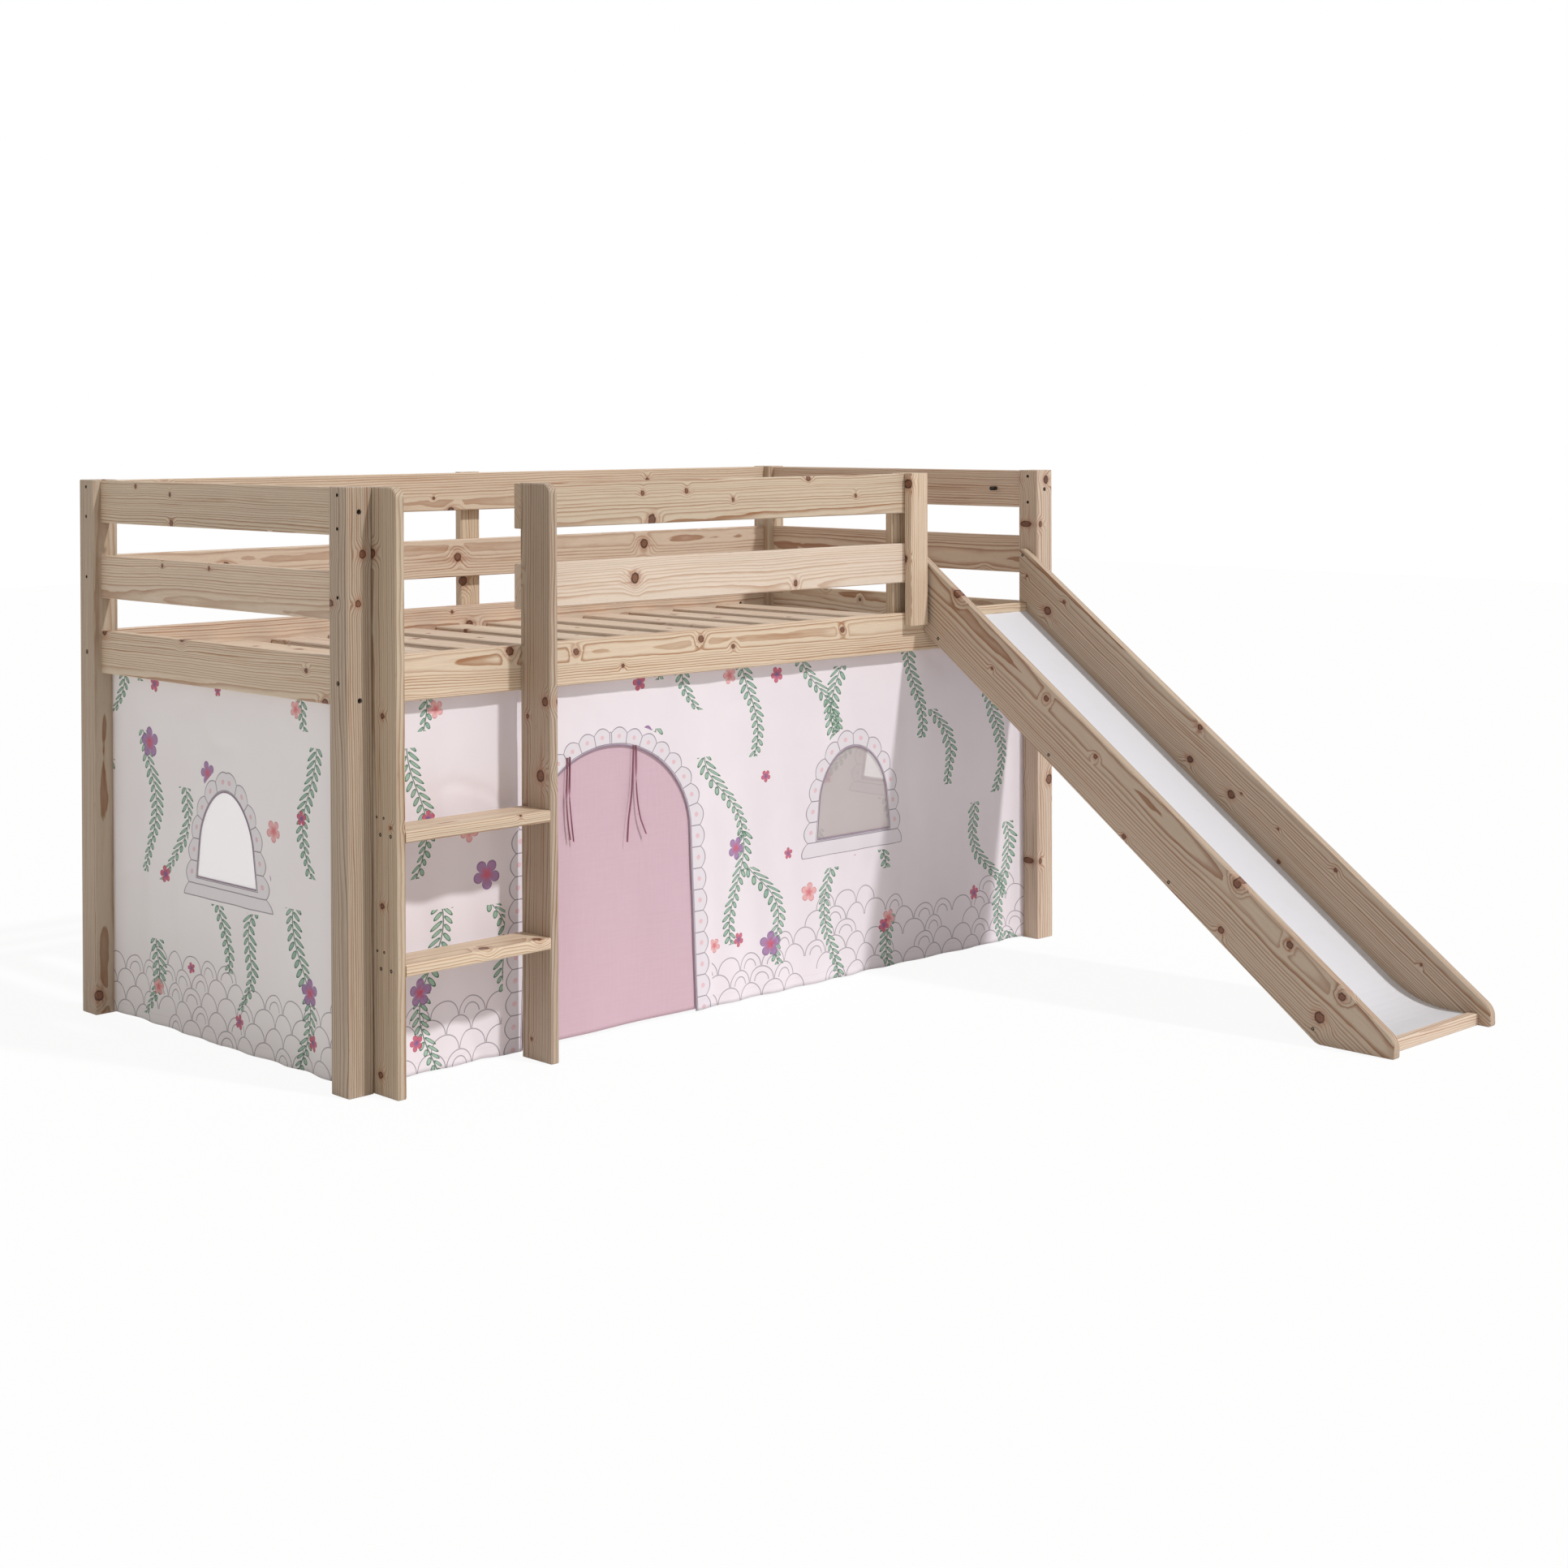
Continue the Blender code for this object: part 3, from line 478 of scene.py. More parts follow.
def add_bolt(form, mouth, direction):
    """A cap-head bolt with a hexagonal socket, its head sunk below the mouth of its hole."""
    place = aim(mouth + direction * bolt_drop, direction)
    profile = [
        (0, socket_depth + 0.0004), (socket_radius * 0.98, socket_depth), (socket_radius * 0.98, 0.0003),
        (socket_radius, 0), (head_radius - head_edge, 0), (head_radius, head_edge),
        (head_radius, head_height), (bolt_radius, head_height), (bolt_radius, bolt_length),
        (bolt_radius - bolt_tip, bolt_length + bolt_tip), (0, bolt_length + bolt_tip),
    ]
    half_side = math.pi / 6
    back = place.inverted()
    for vert in spin(form, profile, 24, place):
        x, y, down = back @ vert.co
        if down < head_height and math.hypot(x, y) < socket_radius * 0.99:
            share = math.cos(half_side) / math.cos(math.atan2(y, x) % (2 * half_side) - half_side)
            vert.co = place @ Vector((x * share, y * share, down))


proud = -0.0004
screw_radius = 0.0038
small_screw_radius = 0.0028


def add_screw(form, mouth, direction, depth=proud, radius=screw_radius, shank=0.0018, length=0.030):
    """A countersunk screw with a cross recess, its head's top at a depth below the mouth."""
    place = aim(mouth + direction * depth, direction)
    recess_depth = radius * 0.35
    profile = [
        (0, recess_depth), (radius * 0.34, recess_depth), (radius * 0.42, 0), (radius - 0.0003, 0),
        (radius, 0.0004), (radius, 0.0007), (shank, radius * 0.8), (shank, length - 0.004), (0, length),
    ]
    back = place.inverted()
    for vert in spin(form, profile, 24, place):
        x, y, down = back @ vert.co
        if abs(down - recess_depth) < 0.00005 and abs(math.sin(2 * math.atan2(y, x))) > 0.7:
            vert.co = place @ Vector((x * 0.25, y * 0.25, down))


# Bolts, nuts and screws in their places
bolts = bmesh.new()
nuts = bmesh.new()
nut_back = 0.088
nut_radius = 0.0050
nut_profile = [
    (0, 0.0039), (0.0016, 0.0039), (0.0020, 0.0034), (nut_radius - 0.0005, 0.0032),
    (nut_radius, 0.0037), (nut_radius, 0.0165), (0, 0.0165),
]
nut_mouth_x = {"left": -0.969, "right": 0.969}
nut_mouth_y = {"front": 0.15585, "rear": 1.06585}
for column in ("left", "right"):
    for row in ("front", "rear"):
        for height in bolt_heights:
            add_bolt(bolts, Vector((post_x[column], faces[row], height)), -outward[row])
        add_bolt(bolts, Vector((faces[column], post_y[row], bed_height)), -outward[column])
        along_y = faces[row] - outward[row].y * (post_side + nut_back)
        for height in bolt_heights:
            mouth = Vector((nut_mouth_x[column], along_y, height))
            spin(nuts, nut_profile, 20, aim(mouth, outward[column]))
        along_x = faces[column] - outward[column].x * (post_side + nut_back)
        spin(nuts, nut_profile, 20, aim(Vector((along_x, nut_mouth_y[row], bed_height)), outward[row]))
for form in (bolts, nuts):
    bmesh.ops.recalc_face_normals(form, faces=form.faces)
add_piece("frame_bolts", bolts, steel, smooth=False)
add_piece("barrel_nuts", nuts, steel, smooth=False)

screws = bmesh.new()
ladder_faces = {-0.9727: axis_x, -0.5867: -axis_x}
tread_heights = (0.490, 0.239)
# Each screw of a tread: how deep it stands, how far above the tread's middle, and its head's radius
tread_screws = (
    (0.0939, 0, screw_radius), (0.0619, 0, screw_radius),
    (0.1057, 0.032, small_screw_radius), (0.0838, 0.032, small_screw_radius),
)
for height in tread_heights:
    for depth, rise, radius in tread_screws:
        for x, way in ladder_faces.items():
            add_screw(screws, Vector((x, depth, height + rise)), way, radius=radius, length=0.016)
for column in ("left", "right"):
    for height in screw_heights:
        mouth = Vector((faces[column], post_y["rear"], height))
        add_screw(screws, mouth, -outward[column], 0.0022, 0.0029, 0.0026, 0.0545)
# The slide's screws: their distance from the front face, and their height
for distance, height in ((-0.027, 0.758), (-0.354, 0.520), (-0.680, 0.280), (-1.038, 0.030)):
    for x, way in ((0.5827, axis_x), (0.9727, -axis_x)):
        add_screw(screws, Vector((x, distance + front, height)), way)
for distance, height in ((0.029, 0.934), (0.025, 0.812)):
    add_screw(screws, Vector((0.9527, distance + front, height)), axis_x, length=0.017)
bmesh.ops.recalc_face_normals(screws, faces=screws.faces)
add_piece("wood_screws", screws, steel, smooth=False)


# Cloth
thread_pitch = 0.0011


def weave(finish, x, y, pitch, depth):
    """Over-and-under threads as relief, with a little fuzz."""
    turns = math.tau / pitch
    warp = (x * turns).sine()
    weft = (y * turns).sine()
    fuzz = cloud(x * 900, y * 900, 0, 3, 0.6)
    finish.relief(0.5 + warp * weft * 0.25 + fuzz * 0.4, depth, 0.7)
    return fuzz


def arch_distance(x, z, arch):
    """How far a point of the cloth is outside an arch: positive outside."""
    centre, half_width, foot, springing, rise, taper = arch
    from_centre = (x - centre) / (1 - (z - foot) * taper).most(0.3)
    above = (z - springing).most(0)
    reach = (from_centre * from_centre / half_width**2 + above * above / rise**2).root()
    round_part = (reach - 1) * (half_width + rise) / 2
    return round_part.most(foot - z) if foot > 0 else round_part


def arch_path(x, z, arch):
    """The length along an arch's edge, measured about its springing."""
    centre, half_width, foot, springing, rise, taper = arch
    turn = (z - springing).most(0).angle(abs(x - centre))
    return turn * half_width + (z - springing).least(0)


ink = linear(132, 122, 132)
leaf_line = linear(66, 104, 80)
leaf_fill = linear(150, 186, 162)
leaf_pitch = 0.0165
leaf_middle = 0.0125
leaf_half_length = 0.0106
leaf_half_width = 0.0054
stem_half_width = 0.0014
# Each kind of flower: spacing, seed, size, how many there are, and colours of heart, tip and lines
flowers = (
    (0.31, 0.235, 31, 0.027, 0.50, linear(196, 84, 112), linear(166, 128, 172), linear(134, 92, 140)),
    (0.27, 0.29, 47, 0.021, 0.55, linear(214, 112, 118), linear(234, 180, 178), linear(204, 128, 136)),
    (0.23, 0.21, 59, 0.015, 0.42, linear(126, 90, 140), linear(206, 98, 122), linear(166, 62, 92)),
)
petals = 5
shell_pitch = 0.046


def vines(x, z, pitch_x, pitch_z, seed, shift):
    """Hanging sprays of small paired leaves: the leaves' fill and their drawn outline."""
    column = (x / pitch_x + shift).floor()
    odd = (column * 0.5).fraction()
    column_chance = chance(column, seed, 3)[0]
    drop = z / pitch_z + odd + column_chance * 0.35
    row = drop.floor()
    cell = chance(column, row, seed)
    up = drop.fraction() * pitch_z
    offset = ((x / pitch_x + shift).fraction() - 0.5) * pitch_x
    sway = (up * (math.tau / pitch_z * 1.15) + cell[0] * math.tau).sine() * 0.026 + (cell[1] - 0.5) * 0.05
    beside = offset - sway
    side_chance = beside.above(0) * 0.5
    slanted = up + abs(beside) * 0.72 + cell[2] + side_chance * leaf_pitch
    leaf_along = ((slanted / leaf_pitch).fraction() - 0.5) * leaf_pitch
    leaf_number = (slanted / leaf_pitch).floor()
    leaf_chance = chance(leaf_number, column, side_chance)[0]
    size = up.step(0.02, pitch_z * 0.5, 0.62, 1.0) * (0.8 + leaf_chance * 0.4)
    outward_reach = (abs(beside) / size - leaf_middle) / leaf_half_length
    narrow = leaf_along / leaf_half_width
    leaf = outward_reach * outward_reach + narrow * narrow
    length = pitch_z * (0.56 + cell[1] * 0.28)
    start = pitch_z * 0.06
    extent = up.above(start) * up.below(length + start) * cell[2].above(0.10)
    fill = leaf.below(1.0) * extent
    outline = leaf.below(1.0) * leaf.above(0.50) * extent
    stem = abs(beside).below(stem_half_width) * extent
    return fill, outline.most(stem)


def staggered(x, z, pitch_x, pitch_z):
    """Cells in rows, each row half a cell on from the last: the cell's numbers, and the place in it."""
    row = (z / pitch_z).floor()
    shifted = x / pitch_x + (row * 0.5).fraction()
    across = (shifted.fraction() - 0.5) * pitch_x
    return shifted.floor(), row, across, (z / pitch_z).fraction() * pitch_z


def blossoms(x, z, pitch_x, pitch_z, seed, size, keep):
    """Loose flowers, one in some cells: cover, the share from the heart outwards, and the turn."""
    column, row, across, up = staggered(x, z, pitch_x, pitch_z)
    cell = chance(column, row, seed)
    other = chance(row, column, seed + 5)
    from_x = across - (cell[0] - 0.5) * pitch_x * 0.45
    from_z = up - (0.5 + (cell[1] - 0.5) * 0.45) * pitch_z
    radius = size * (0.75 + other[0] * 0.5)
    turn = from_z.angle(from_x) + cell[2] * math.tau
    edge = radius * (0.42 + 0.58 * abs((turn * (petals / 2)).cosine()).root())
    reach = hypotenuse(from_x, from_z) / edge
    cover = reach.below(1.0) * other[1].below(keep)
    return cover, reach, turn


def scales(x, z, width, line, seed, top):
    """Rows of drawn fish-scale arcs, with some left out, up to a wavy top."""
    radius = width / 2
    column, row, from_x, from_z = staggered(x, z, width, radius)
    cell = chance(column, row, seed)
    reach = hypotenuse(from_x, from_z)
    arc = abs(reach - radius * 0.955).below(line / 2)
    inner = abs(reach - radius * 0.55).below(line / 2) * cell[1].below(0.35)
    middle = (column - (row * 0.5).fraction() + 0.5) * width
    edge = top + cloud(middle * 2.6, seed, 0) * 0.30
    return arc.most(inner) * ((row + 0.5) * radius).below(edge) * cell[0].below(0.92)


def print_cotton(name, arches, light, dark):
    """Pinkish-white cotton with a printed garden: sprays, flowers, scale work and trimmed arches."""
    finish = Finish(name)
    x, z = finish.cut_place()
    wander = cloud(x * 22, z * 22, 1) * 0.0016
    ink_x = x + wander
    ink_z = z + cloud(x * 22, z * 22, 7) * 0.0016
    thread = weave(finish, x, z, thread_pitch, 0.00018)
    ground = mix(cloud(x * 3, z * 3, 0, 3) * 2 + 0.5, light, dark)
    layers = []
    for arch in arches:
        outside = arch_distance(ink_x, ink_z, arch)
        step = (arch_path(ink_x, ink_z, arch) / shell_pitch).fraction() - 0.5
        bump = abs(step * 2)
        scallop = 0.042 - bump * bump * 0.013
        ring = abs(outside - scallop).below(0.0013).most(abs(outside - 0.0045).below(0.0009))
        spoke = bump.above(0.95) * outside.above(0.0045) * outside.below(0.029)
        trim = ring.most(spoke) * outside.above(0) * outside.below(0.045)
        shell = outside.above(0) * outside.below(scallop)
        dot_x = step * shell_pitch
        dot_z = outside - 0.0215
        dot = (dot_x * dot_x + dot_z * dot_z).below(0.0052**2) * outside.above(0)
        layers.append((outside.below(0.050), trim, shell, dot))
    covered, trim, shells, dots = [reduce(Signal.most, layer) for layer in zip(*layers)]
    clear = 1 - covered
    scale_work = scales(ink_x, ink_z, 0.066, 0.0023, 4, 0.145) * clear
    colour = mix(scale_work * 0.72, ground, ink)
    fill_a, line_a = vines(ink_x, ink_z, 0.285, 0.400, 11, 0.0)
    fill_b, line_b = vines(ink_x + ink_z * 0.42, ink_z, 0.365, 0.290, 23, 0.37)
    fill = fill_a.most(fill_b) * clear
    line = line_a.most(line_b) * clear
    depth = cloud(x * 11, z * 11, 3).step(-0.2, 0.2)
    colour = mix(fill * 0.86, colour, mix(depth, leaf_fill, linear(124, 166, 142)))
    colour = mix(line * 0.88, colour, mix(depth, leaf_line, linear(84, 120, 98)))
    for pitch_x, pitch_z, seed, size, keep, heart, tip, lines in flowers:
        cover, reach, turn = blossoms(ink_x, ink_z, pitch_x, pitch_z, seed, size, keep)
        petal = mix(reach.step(0.12, 0.7), heart, tip)
        vein = abs((turn * petals * 3).sine()).below(0.30) * reach.above(0.35)
        petal = mix(vein.most(reach.above(0.88)) * 0.7, petal, lines)
        colour = mix(cover * clear * 0.93, colour, petal)
    colour = mix(shells * 0.45, colour, linear(216, 212, 218))
    colour = mix(trim * 0.80, colour, ink)
    colour = mix(dots * 0.8, colour, linear(226, 184, 190))
    sewn = z.above(0.0205) * z.below(0.0217) * (x / 0.0032).fraction().below(0.62)
    colour = mix(sewn * 0.35, colour, linear(200, 186, 190))
    colour = shade(colour, 1 + thread * 0.05)
    finish.set(Base_Color=colour, Roughness=0.86 + thread * 0.08)
    finish.set(Sheen_Weight=0.18, Sheen_Roughness=0.5, Specular_IOR_Level=0.22)
    return finish.material


def plain_cotton(name, light, dark):
    finish = Finish(name)
    x, z = finish.cut_place()
    thread = weave(finish, x, z, thread_pitch, 0.0002)
    slub = cloud(x * 14, z * 240, 0, 3, 0.6)
    crossed = cloud(x * 240, z * 14, 5, 3, 0.6)
    colour = mix(0.5 + slub * 0.8 + crossed * 0.8, light, dark)
    colour = shade(colour, 1 + thread * 0.06)
    finish.set(Base_Color=colour, Roughness=0.84 + thread * 0.1, Sheen_Weight=0.2, Specular_IOR_Level=0.22)
    return finish.material


def voile():
    """Sheer net: covered along its threads, and nearly clear between them."""
    finish = Finish("sheer_voile")
    x, z = finish.cut_place()
    thread = weave(finish, x, z, 0.0016, 0.0002)
    warp = abs((x * (math.pi / 0.0018)).sine())
    weft = abs((z * (math.pi / 0.0018)).sine())
    cover = warp.most(weft).step(0.55, 0.95) * 0.26 + 0.28
    colour = mix(thread.step(-0.3, 0.3), linear(226, 214, 216), linear(236, 226, 227))
    finish.set(Base_Color=colour, Roughness=0.9, Alpha=cover + thread * 0.1, Specular_IOR_Level=0.15)
    return finish.material


def map_metres(form):
    """Keeps each point's X and Z on the cloth while it is flat, in metres, for the print and weave."""
    layer = form.loops.layers.uv.new("metres")
    for face in form.faces:
        for loop in face.loops:
            loop[layer].uv = (loop.vert.co.x, loop.vert.co.z)


def sheet_slab(width, height, step, thickness):
    """A flat slab of cloth in X and Z, standing on the origin, split into even squares."""
    columns = round(width / step)
    rows = round(height / step)
    form = bmesh.new()
    points = {}
    for column in range(columns + 1):
        for row in range(rows + 1):
            for side in (0, 1):
                place = (width * column / columns, thickness * side, height * row / rows)
                points[column, row, side] = form.verts.new(place)
    for column in range(columns):
        for row in range(rows):
            corners = ((column, row), (column + 1, row), (column + 1, row + 1), (column, row + 1))
            form.faces.new([points[(*corner, 0)] for corner in corners])
            form.faces.new([points[(*corner, 1)] for corner in reversed(corners)])
    rim = [(column, 0) for column in range(columns)] + [(columns, row) for row in range(rows)]
    rim += [(column, rows) for column in range(columns, 0, -1)] + [(0, row) for row in range(rows, 0, -1)]
    for first, second in zip(rim, rim[1:] + rim[:1]):
        corners = ((*second, 0), (*first, 0), (*first, 1), (*second, 1))
        form.faces.new([points[corner] for corner in corners])
    bmesh.ops.recalc_face_normals(form, faces=form.faces)
    return form


def arch_points(arch, spread=0.0, steps=28):
    """The outline of an arch in X and Z, widened by a spread."""
    centre, half_width, foot, springing, rise, taper = arch
    half = half_width + spread
    top = rise + spread
    low = foot - spread if foot > 0 else foot
    points = [(centre - half, low), (centre + half, low)]
    for index in range(steps + 1):
        turn = math.pi * index / steps
        points.append((centre + half * math.cos(turn), springing + top * math.sin(turn)))
    return [(centre + (x - centre) * (1 - (z - foot) * taper), z) for x, z in points]


def cut_arches(form, arches):
    """Cuts arched openings through a flat slab of cloth."""
    blank = add_form("cloth_blank", form)
    tools = []
    for arch in arches:
        cutter = bmesh.new()
        face = cutter.faces.new([cutter.verts.new((x, -0.01, z)) for x, z in arch_points(arch)])
        pulled = bmesh.ops.extrude_face_region(cutter, geom=[face])["geom"]
        moved = [item for item in pulled if isinstance(item, bmesh.types.BMVert)]
        bmesh.ops.translate(cutter, verts=moved, vec=(0, 0.03, 0))
        bmesh.ops.recalc_face_normals(cutter, faces=cutter.faces)
        tools.append(add_form("arch_cutter", cutter))
        change = blank.modifiers.new("arch", "BOOLEAN")
        change.operation = "DIFFERENCE"
        change.solver = "EXACT"
        change.object = tools[-1]
    bpy.context.view_layer.update()
    result = bmesh.new()
    result.from_object(blank, bpy.context.evaluated_depsgraph_get())
    for item in (*tools, blank):
        bpy.data.objects.remove(item)
    return result


def calm_near(x, z, arches, reach):
    """From 0 beside an arch to 1 away from it, so that cloth lies still at its openings."""
    share = 1
    for centre, half_width, foot, springing, rise, _ in arches:
        beyond = max(abs(x - centre) - half_width, z - springing - rise, foot - z, 0)
        amount = min(1, beyond / reach)
        share = min(share, amount * amount * (3 - 2 * amount))
    return share


def ripple(scale_x, scale_z, x, z, seed):
    """Soft noise over the flat cloth, from -1 to 1."""
    return noise.noise(Vector((x * scale_x, seed, z * scale_z)))


fold_pitch = 0.125
hem_height = 0.021
hem_turn = 0.0005


def hang(form, width, height, arches, depth, seed):
    """Folds a flat cloth: pinned at its top and openings, with waves that open out to the hem."""
    for vert in form.verts:
        x, _, z = vert.co
        loose = min(1, (height - z) / height * 1.6) * calm_near(x, z, arches, 0.085)
        edge = min(1, min(x, width - x) / 0.03)
        wave = math.sin(math.tau * x / fold_pitch + 2.2 * ripple(2.3, 0.8, x, z, seed))
        sweep = ripple(3.1, 1.2, x, z, seed + 4)
        crease = ripple(16, 7, x, z, seed + 8) * 0.5 + ripple(34, 15, x, z, seed) * 0.25
        slanting = Vector((x * 5.5 + z * 4.5, seed + 16, z * 3 - x * 2))
        pulled = max(0, 1 - abs(noise.noise(slanting)) * 4.5) ** 2 * noise.noise(slanting * 0.6)
        fold = (wave * 0.32 + 0.45 + sweep * 0.55) * depth
        still = calm_near(x, z, arches, 0.03)
        vert.co.y += max(0, fold) * loose * edge + (crease * 0.0026 + max(0, pulled) * 0.0060) * still * edge
        vert.co.z += max(0, ripple(9, 0, x, z, seed + 12) * 0.0018 * max(0, 1 - z / 0.12))
        if z < hem_height and vert.co.y < 0.0008:
            vert.co.y -= hem_turn


# The curtains' places and openings
cloth_thickness = 0.0016
cloth_step = 0.009
front_cloth_y = 0.15815
side_cloth_x = 0.98865
front_low, front_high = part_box("curtain_front")
front_width = front_high.x - front_low.x
cloth_height = front_high.z - front_low.z
door_centre = -0.351
window_centre = 0.372


def arch_on(origin, centre, half_width, foot, springing, rise, low, taper):
    """An arch on its curtain's flat cloth, from places in the frame: a foot of 0 is open below."""
    return (centre - origin, half_width, foot - low if foot > 0 else 0, springing - low, rise, taper)


hem_low = front_low.z
door_arch = arch_on(front_low.x, door_centre, 0.236, 0, 0.400, 0.192, hem_low, 0.18)
front_window_arch = arch_on(front_low.x, window_centre, 0.117, 0.326, 0.411, 0.111, hem_low, 0.9)
front_arches = (door_arch, front_window_arch)
front_print = print_cotton(
    "printed_cotton_front", front_arches, linear(239, 231, 235), linear(231, 222, 227)
)


def outline_area(points):
    """The area inside a closed outline."""
    pairs = zip(points, points[1:] + points[:1])
    return abs(sum(x * next_z - next_x * z for (x, z), (next_x, next_z) in pairs)) / 2


def make_curtain(side, place, width, arches, depth, seed, material):
    """A curtain cut from a flat sheet, hung from its hook tape."""
    form = cut_arches(sheet_slab(width, cloth_height, cloth_step, cloth_thickness), arches)
    map_metres(form)
    hang(form, width, cloth_height, arches, depth, seed)
    bmesh.ops.transform(form, matrix=place, verts=form.verts)
    bmesh.ops.recalc_face_normals(form, faces=form.faces)
    curtain = add_piece(f"{side}_curtain_cloth", form, material)
    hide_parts(f"curtain_{side}")
    width * cloth_height - sum(outline_area(arch_points(arch)) for arch in arches)


front_place = Matrix.Translation((front_low.x, front_cloth_y, hem_low))
make_curtain("front", front_place, front_width, front_arches, 0.011, 3, front_print)

# End curtains, each with one window
side_low, side_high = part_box("curtain_left")
side_width = side_high.y - side_low.y
side_arch = arch_on(side_low.y, 0.60085, 0.109, 0.336, 0.412, 0.105, side_low.z, 1.35)
# Painted light: the end curtains are the same cloth as the front, but their ground is drawn lighter to make
# up for the shade on the ends
side_print_painted_light = print_cotton("printed_cotton_ends_painted_light", (side_arch,), linear(247, 243, 243), linear(242, 236, 237))
side_places = {
    "left": Matrix(((0, 1, 0, -side_cloth_x), (1, 0, 0, side_low.y), (0, 0, 1, side_low.z), (0, 0, 0, 1))),
    "right": Matrix(((0, -1, 0, side_cloth_x), (1, 0, 0, side_low.y), (0, 0, 1, side_low.z), (0, 0, 0, 1))),
}
for side, seed in (("left", 21), ("right", 37)):
    make_curtain(side, side_places[side], side_width, (side_arch,), 0.009, seed, side_print_painted_light)

# Bindings sewn round the openings: their dark colour also paints the shadow in the gap at the openings'
# edges, as painted shade
binding_with_painted_shade = plain_cotton("binding_with_painted_shade", linear(166, 146, 162), linear(146, 126, 144))
binding_width = 0.0036
binding_thickness = 0.0008
# A binding's section: the share of its width across, and of its thickness outwards
binding_section = ((-0.5, 0), (-0.36, -1), (0.36, -1), (0.5, 0))


def bind(name, arch, place):
    """A narrow band that follows an arch. The door's is open at the foot."""
    outline = arch_points(arch, 0.0010, 40)
    closed = arch[2] > 0
    if not closed:
        outline = [(x, max(z, 0.002)) for x, z in outline[1:] + outline[:1]]
    points = [Vector((x, 0, z)) for x, z in outline]
    count = len(points)
    form = bmesh.new()
    rings = []
    for index, point in enumerate(points):
        before = points[index - 1] if index or closed else point
        after = points[(index + 1) % count] if index < count - 1 or closed else point
        along = (after - before).normalized()
        out = Vector((along.z, 0, -along.x)) * binding_width
        lift = axis_y * binding_thickness
        rings.append([form.verts.new(point + out * across + lift * rise) for across, rise in binding_section])
    loft(form, rings, closed)
    map_metres(form)
    bmesh.ops.transform(form, matrix=place, verts=form.verts)
    bmesh.ops.recalc_face_normals(form, faces=form.faces)
    add_piece(name, form, binding_with_painted_shade)


bind("door_binding", door_arch, front_place)
bind("front_window_binding", front_window_arch, front_place)
for side in ("left", "right"):
    bind(f"{side}_window_binding", side_arch, side_places[side])


def arch_sheet(arch, spread, low, steps, cells=None):
    """A flat sheet in the shape of an arch, split into a grid, with its flat size and area."""
    centre, half_width, foot, springing, rise, _ = arch
    size = (2 * (half_width + spread), springing + rise + spread - low)
    form = bmesh.new()
    form.faces.new([form.verts.new((x, 0, max(z, low))) for x, z in arch_points(arch, spread, steps)])
    for axis, start, length in ((axis_x, centre - half_width - spread, size[0]), (axis_z, low, size[1])):
        count = cells or round(length / cloth_step)
        for index in range(1, count):
            point = axis * (start + length * index / count)
            geometry = [*form.verts, *form.edges, *form.faces]
            bmesh.ops.bisect_plane(form, geom=geometry, plane_co=point, plane_no=axis)
    map_metres(form)
    return form, size, sum(face.calc_area() for face in form.faces)


# Nets in the windows
sheer = voile()
net_seam = 0.009
net_gap = 0.0026


def make_net(side, arch, place, seed):
    centre, half_width, foot, springing, rise, _ = arch
    form, size, area = arch_sheet(arch, net_seam, foot - net_seam, 32, 26)
    for vert in form.verts:
        x, _, z = vert.co
        inside = max(0, min(1, min(half_width - abs(x - centre), z - foot, springing + rise - z) / 0.04))
        vert.co.y += (ripple(20, 6, x, z, seed) * 0.0016 + 0.0004) * inside
    bmesh.ops.transform(form, matrix=place, verts=form.verts)
    net = add_piece(f"{side}_net_voile", form, sheer)
    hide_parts(f"window_net_{side}")


net_shift = Matrix.Translation((0, net_gap, 0))
make_net("front", front_window_arch, front_place @ net_shift, 2)
for side in ("left", "right"):
    make_net(side, side_arch, side_places[side] @ net_shift, 6)

# The door cloth, sewn behind the arch and free below its springing
pink = plain_cotton("pink_cotton", linear(214, 185, 195), linear(204, 173, 184))
door_seam = 0.011
door_low = 0.004
door_gap = 0.0034
door_thickness = 0.0012


def make_door():
    centre, half_width, _, springing, rise, taper = door_arch
    form, size, area = arch_sheet(door_arch, door_seam, door_low, 40)
    for vert in form.verts:
        x, _, z = vert.co
        across = x - centre
        loose = max(0, min(1, (springing + rise * 0.5 - z) / 0.30))
        edge = max(0, min(1, (half_width * (1 - z * taper) + door_seam - abs(across)) / 0.02))
        wave = math.sin(across / 0.052 + 1.4 * ripple(6, 2, across, z, 3))
        crease = ripple(18, 8, x, z, 5)
        vert.co.y += loose * (0.0028 + 0.0030 * wave) * (0.4 + 0.6 * edge) + crease * 0.0009
    bmesh.ops.solidify(form, geom=form.faces, thickness=door_thickness)
    bmesh.ops.recalc_face_normals(form, faces=form.faces)
    place = front_place @ Matrix.Translation((0, door_gap, 0))
    bmesh.ops.transform(form, matrix=place, verts=form.verts)
    door = add_piece("door_cloth_flap", form, pink, None)
    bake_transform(door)
    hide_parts("door_flap_head", "door_flap")


make_door()

# Hook tape, on which the curtains hang. Its section: shares of its depth and of its height
tape_section = ((0.12, 0), (0.88, 0), (1, 0.08), (1, 0.92), (0.88, 1), (0.12, 1), (0, 0.92), (0, 0.08))
tape_steps = 48
tape_end = 0.0008


